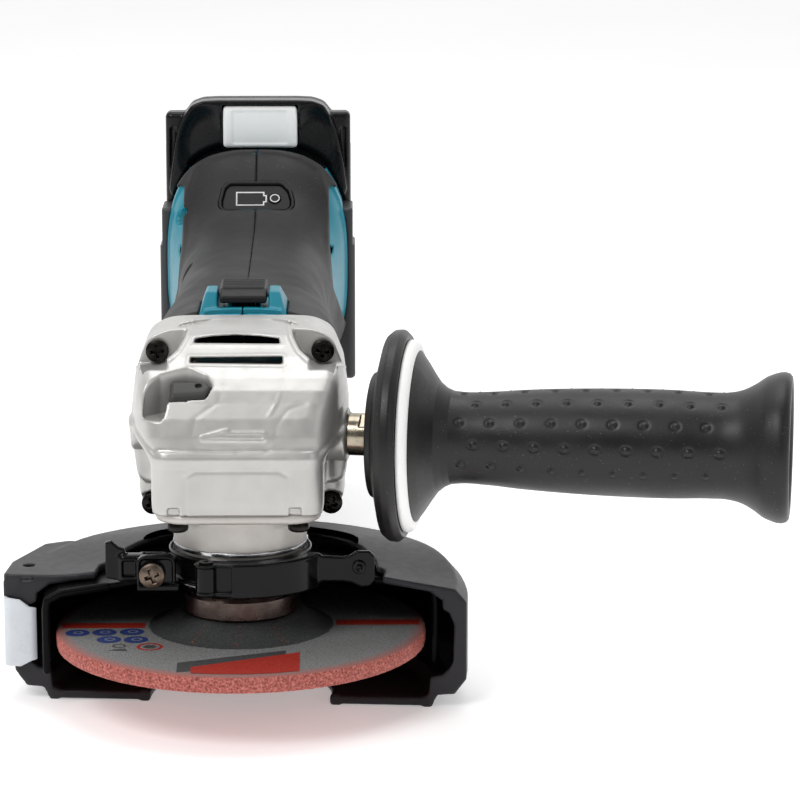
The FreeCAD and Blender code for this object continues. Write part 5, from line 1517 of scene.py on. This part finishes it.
# the CAD pieces that show as they are
FINISHES = {
    "spindle_bearing_outer_ring": BEARING, "needle_bearing": BEARING, "bearing_retainer": GEAR,
    "bearing_balls": BEARING, "fan_baffle": BLACK, "stator_core": LAMINATION,
    "stator_windings": COPPER, "rotor_bearing_outer_rings": BEARING, "switch_unit": BLACK,
    "controller_board": POTTING, "terminal_block": BLACK,
    "lock_spring": BEARING, "lead_wires": WIRE, "rotor_shaft": GEAR, "rotor_core": LAMINATION,
    "cooling_fan": BLACK, "drive_pinion": GEAR, "rotor_bearing_inner_rings": BEARING,
    "spindle": GEAR, "crown_gear": GEAR, "spindle_bearing_inner_ring": BEARING,
    "gear_retaining_ring": GEAR, "lock_pin": GEAR, "switch_link": BLACK, "handle_bolt": NICKEL,
    "battery_cells": CELL, "battery_terminals": BRASS,
}
for word, finish in FINISHES.items():
    node = frame["nodes"][word]
    node.data.materials.clear()
    node.data.materials.append(finish)


# ---------------------------------------------------------------- camera, light and floor

CAMERA_PLACE = (0.0378, -1.1243, 0.3274)
CAMERA_LOOK = (0.01394, 0.97767, -0.20967)
MIDDLE = (0.03, 0.08, 0.08)


def lamp(name, place, size, power):
    """A rectangular light that faces the object's middle."""
    data = bpy.data.lights.new(name, "AREA")
    data.shape = "RECTANGLE"
    data.size, data.size_y = size
    data.energy = power
    obj = bpy.data.objects.new(name, data)
    bpy.context.collection.objects.link(obj)
    obj.location = place
    obj.rotation_mode = "QUATERNION"
    obj.rotation_quaternion = (Vector(MIDDLE) - Vector(place)).to_track_quat("-Z", "Y")


def light_room(tree):
    """A white studio that is brighter behind the object than in front of it."""
    where = tree.nodes.new("ShaderNodeTexCoord")
    split = tree.nodes.new("ShaderNodeSeparateXYZ")
    tree.links.new(where.outputs["Generated"], split.inputs[0])
    fade = tree.nodes.new("ShaderNodeMapRange")
    for word, number in (("From Min", -0.5), ("From Max", 0.75), ("To Min", 0.22), ("To Max", 1.08)):
        fade.inputs[word].default_value = number
    tree.links.new(split.outputs[1], fade.inputs["Value"])
    room = tree.nodes["Background"]
    room.inputs["Color"].default_value = (1, 1, 1, 1)
    tree.links.new(fade.outputs["Result"], room.inputs["Strength"])


def place_camera():
    """The camera, where the object was seen from."""
    data = bpy.data.cameras.new("camera")
    data.lens = 154.7
    data.sensor_width = 36
    data.clip_start, data.clip_end = 0.05, 30
    camera = bpy.data.objects.new("camera", data)
    bpy.context.collection.objects.link(camera)
    camera.location = CAMERA_PLACE
    camera.rotation_mode = "QUATERNION"
    camera.rotation_quaternion = Vector(CAMERA_LOOK).to_track_quat("-Z", "Y")
    scene = bpy.context.scene
    scene.camera = camera
    scene.view_settings.view_transform = "Standard"
    scene.view_settings.look = "None"


def light_studio():
    """The room's own light and three soft lamps."""
    world = bpy.data.worlds.new("studio")
    world.use_nodes = True
    light_room(world.node_tree)
    bpy.context.scene.world = world
    lamp("key", (-0.7, -0.9, 1.3), (0.9, 0.7), 12)
    lamp("fill", (1.1, -0.9, 0.7), (0.8, 0.8), 2)
    lamp("top", (0.1, 0.35, 1.4), (1.0, 0.8), 6)


def lay_floor():
    """A pale sheet just under the object, faintly lit from within."""
    low, reach = CAD_BOX[0].z - 0.0002, 6.0
    corners = [(-reach, -reach, low), (reach, -reach, low), (reach, reach, low), (-reach, reach, low)]
    floor = new_object("floor", corners, [(0, 1, 2, 3)], smooth=False)
    f = Finish("floor_paper", 0.9)
    f.shader.inputs["Emission Color"].default_value = (1, 1, 1, 1)
    f.shader.inputs["Emission Strength"].default_value = 0.34
    f.bump(f.noise(1.5), 0.02)
    paper = f.ramp(f.noise(300), [(0.3, (0.93, 0.93, 0.93)), (0.7, (0.96, 0.96, 0.96))])
    floor.data.materials.append(f.done(paper))
    floor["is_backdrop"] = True


place_camera()
light_studio()
lay_floor()


# ---------------------------------------------------------------- size and finish

boxes = {"cad": CAD_BOX, "visual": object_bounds()}
{word: [list(corner) for corner in pair] for word, pair in boxes.items()}
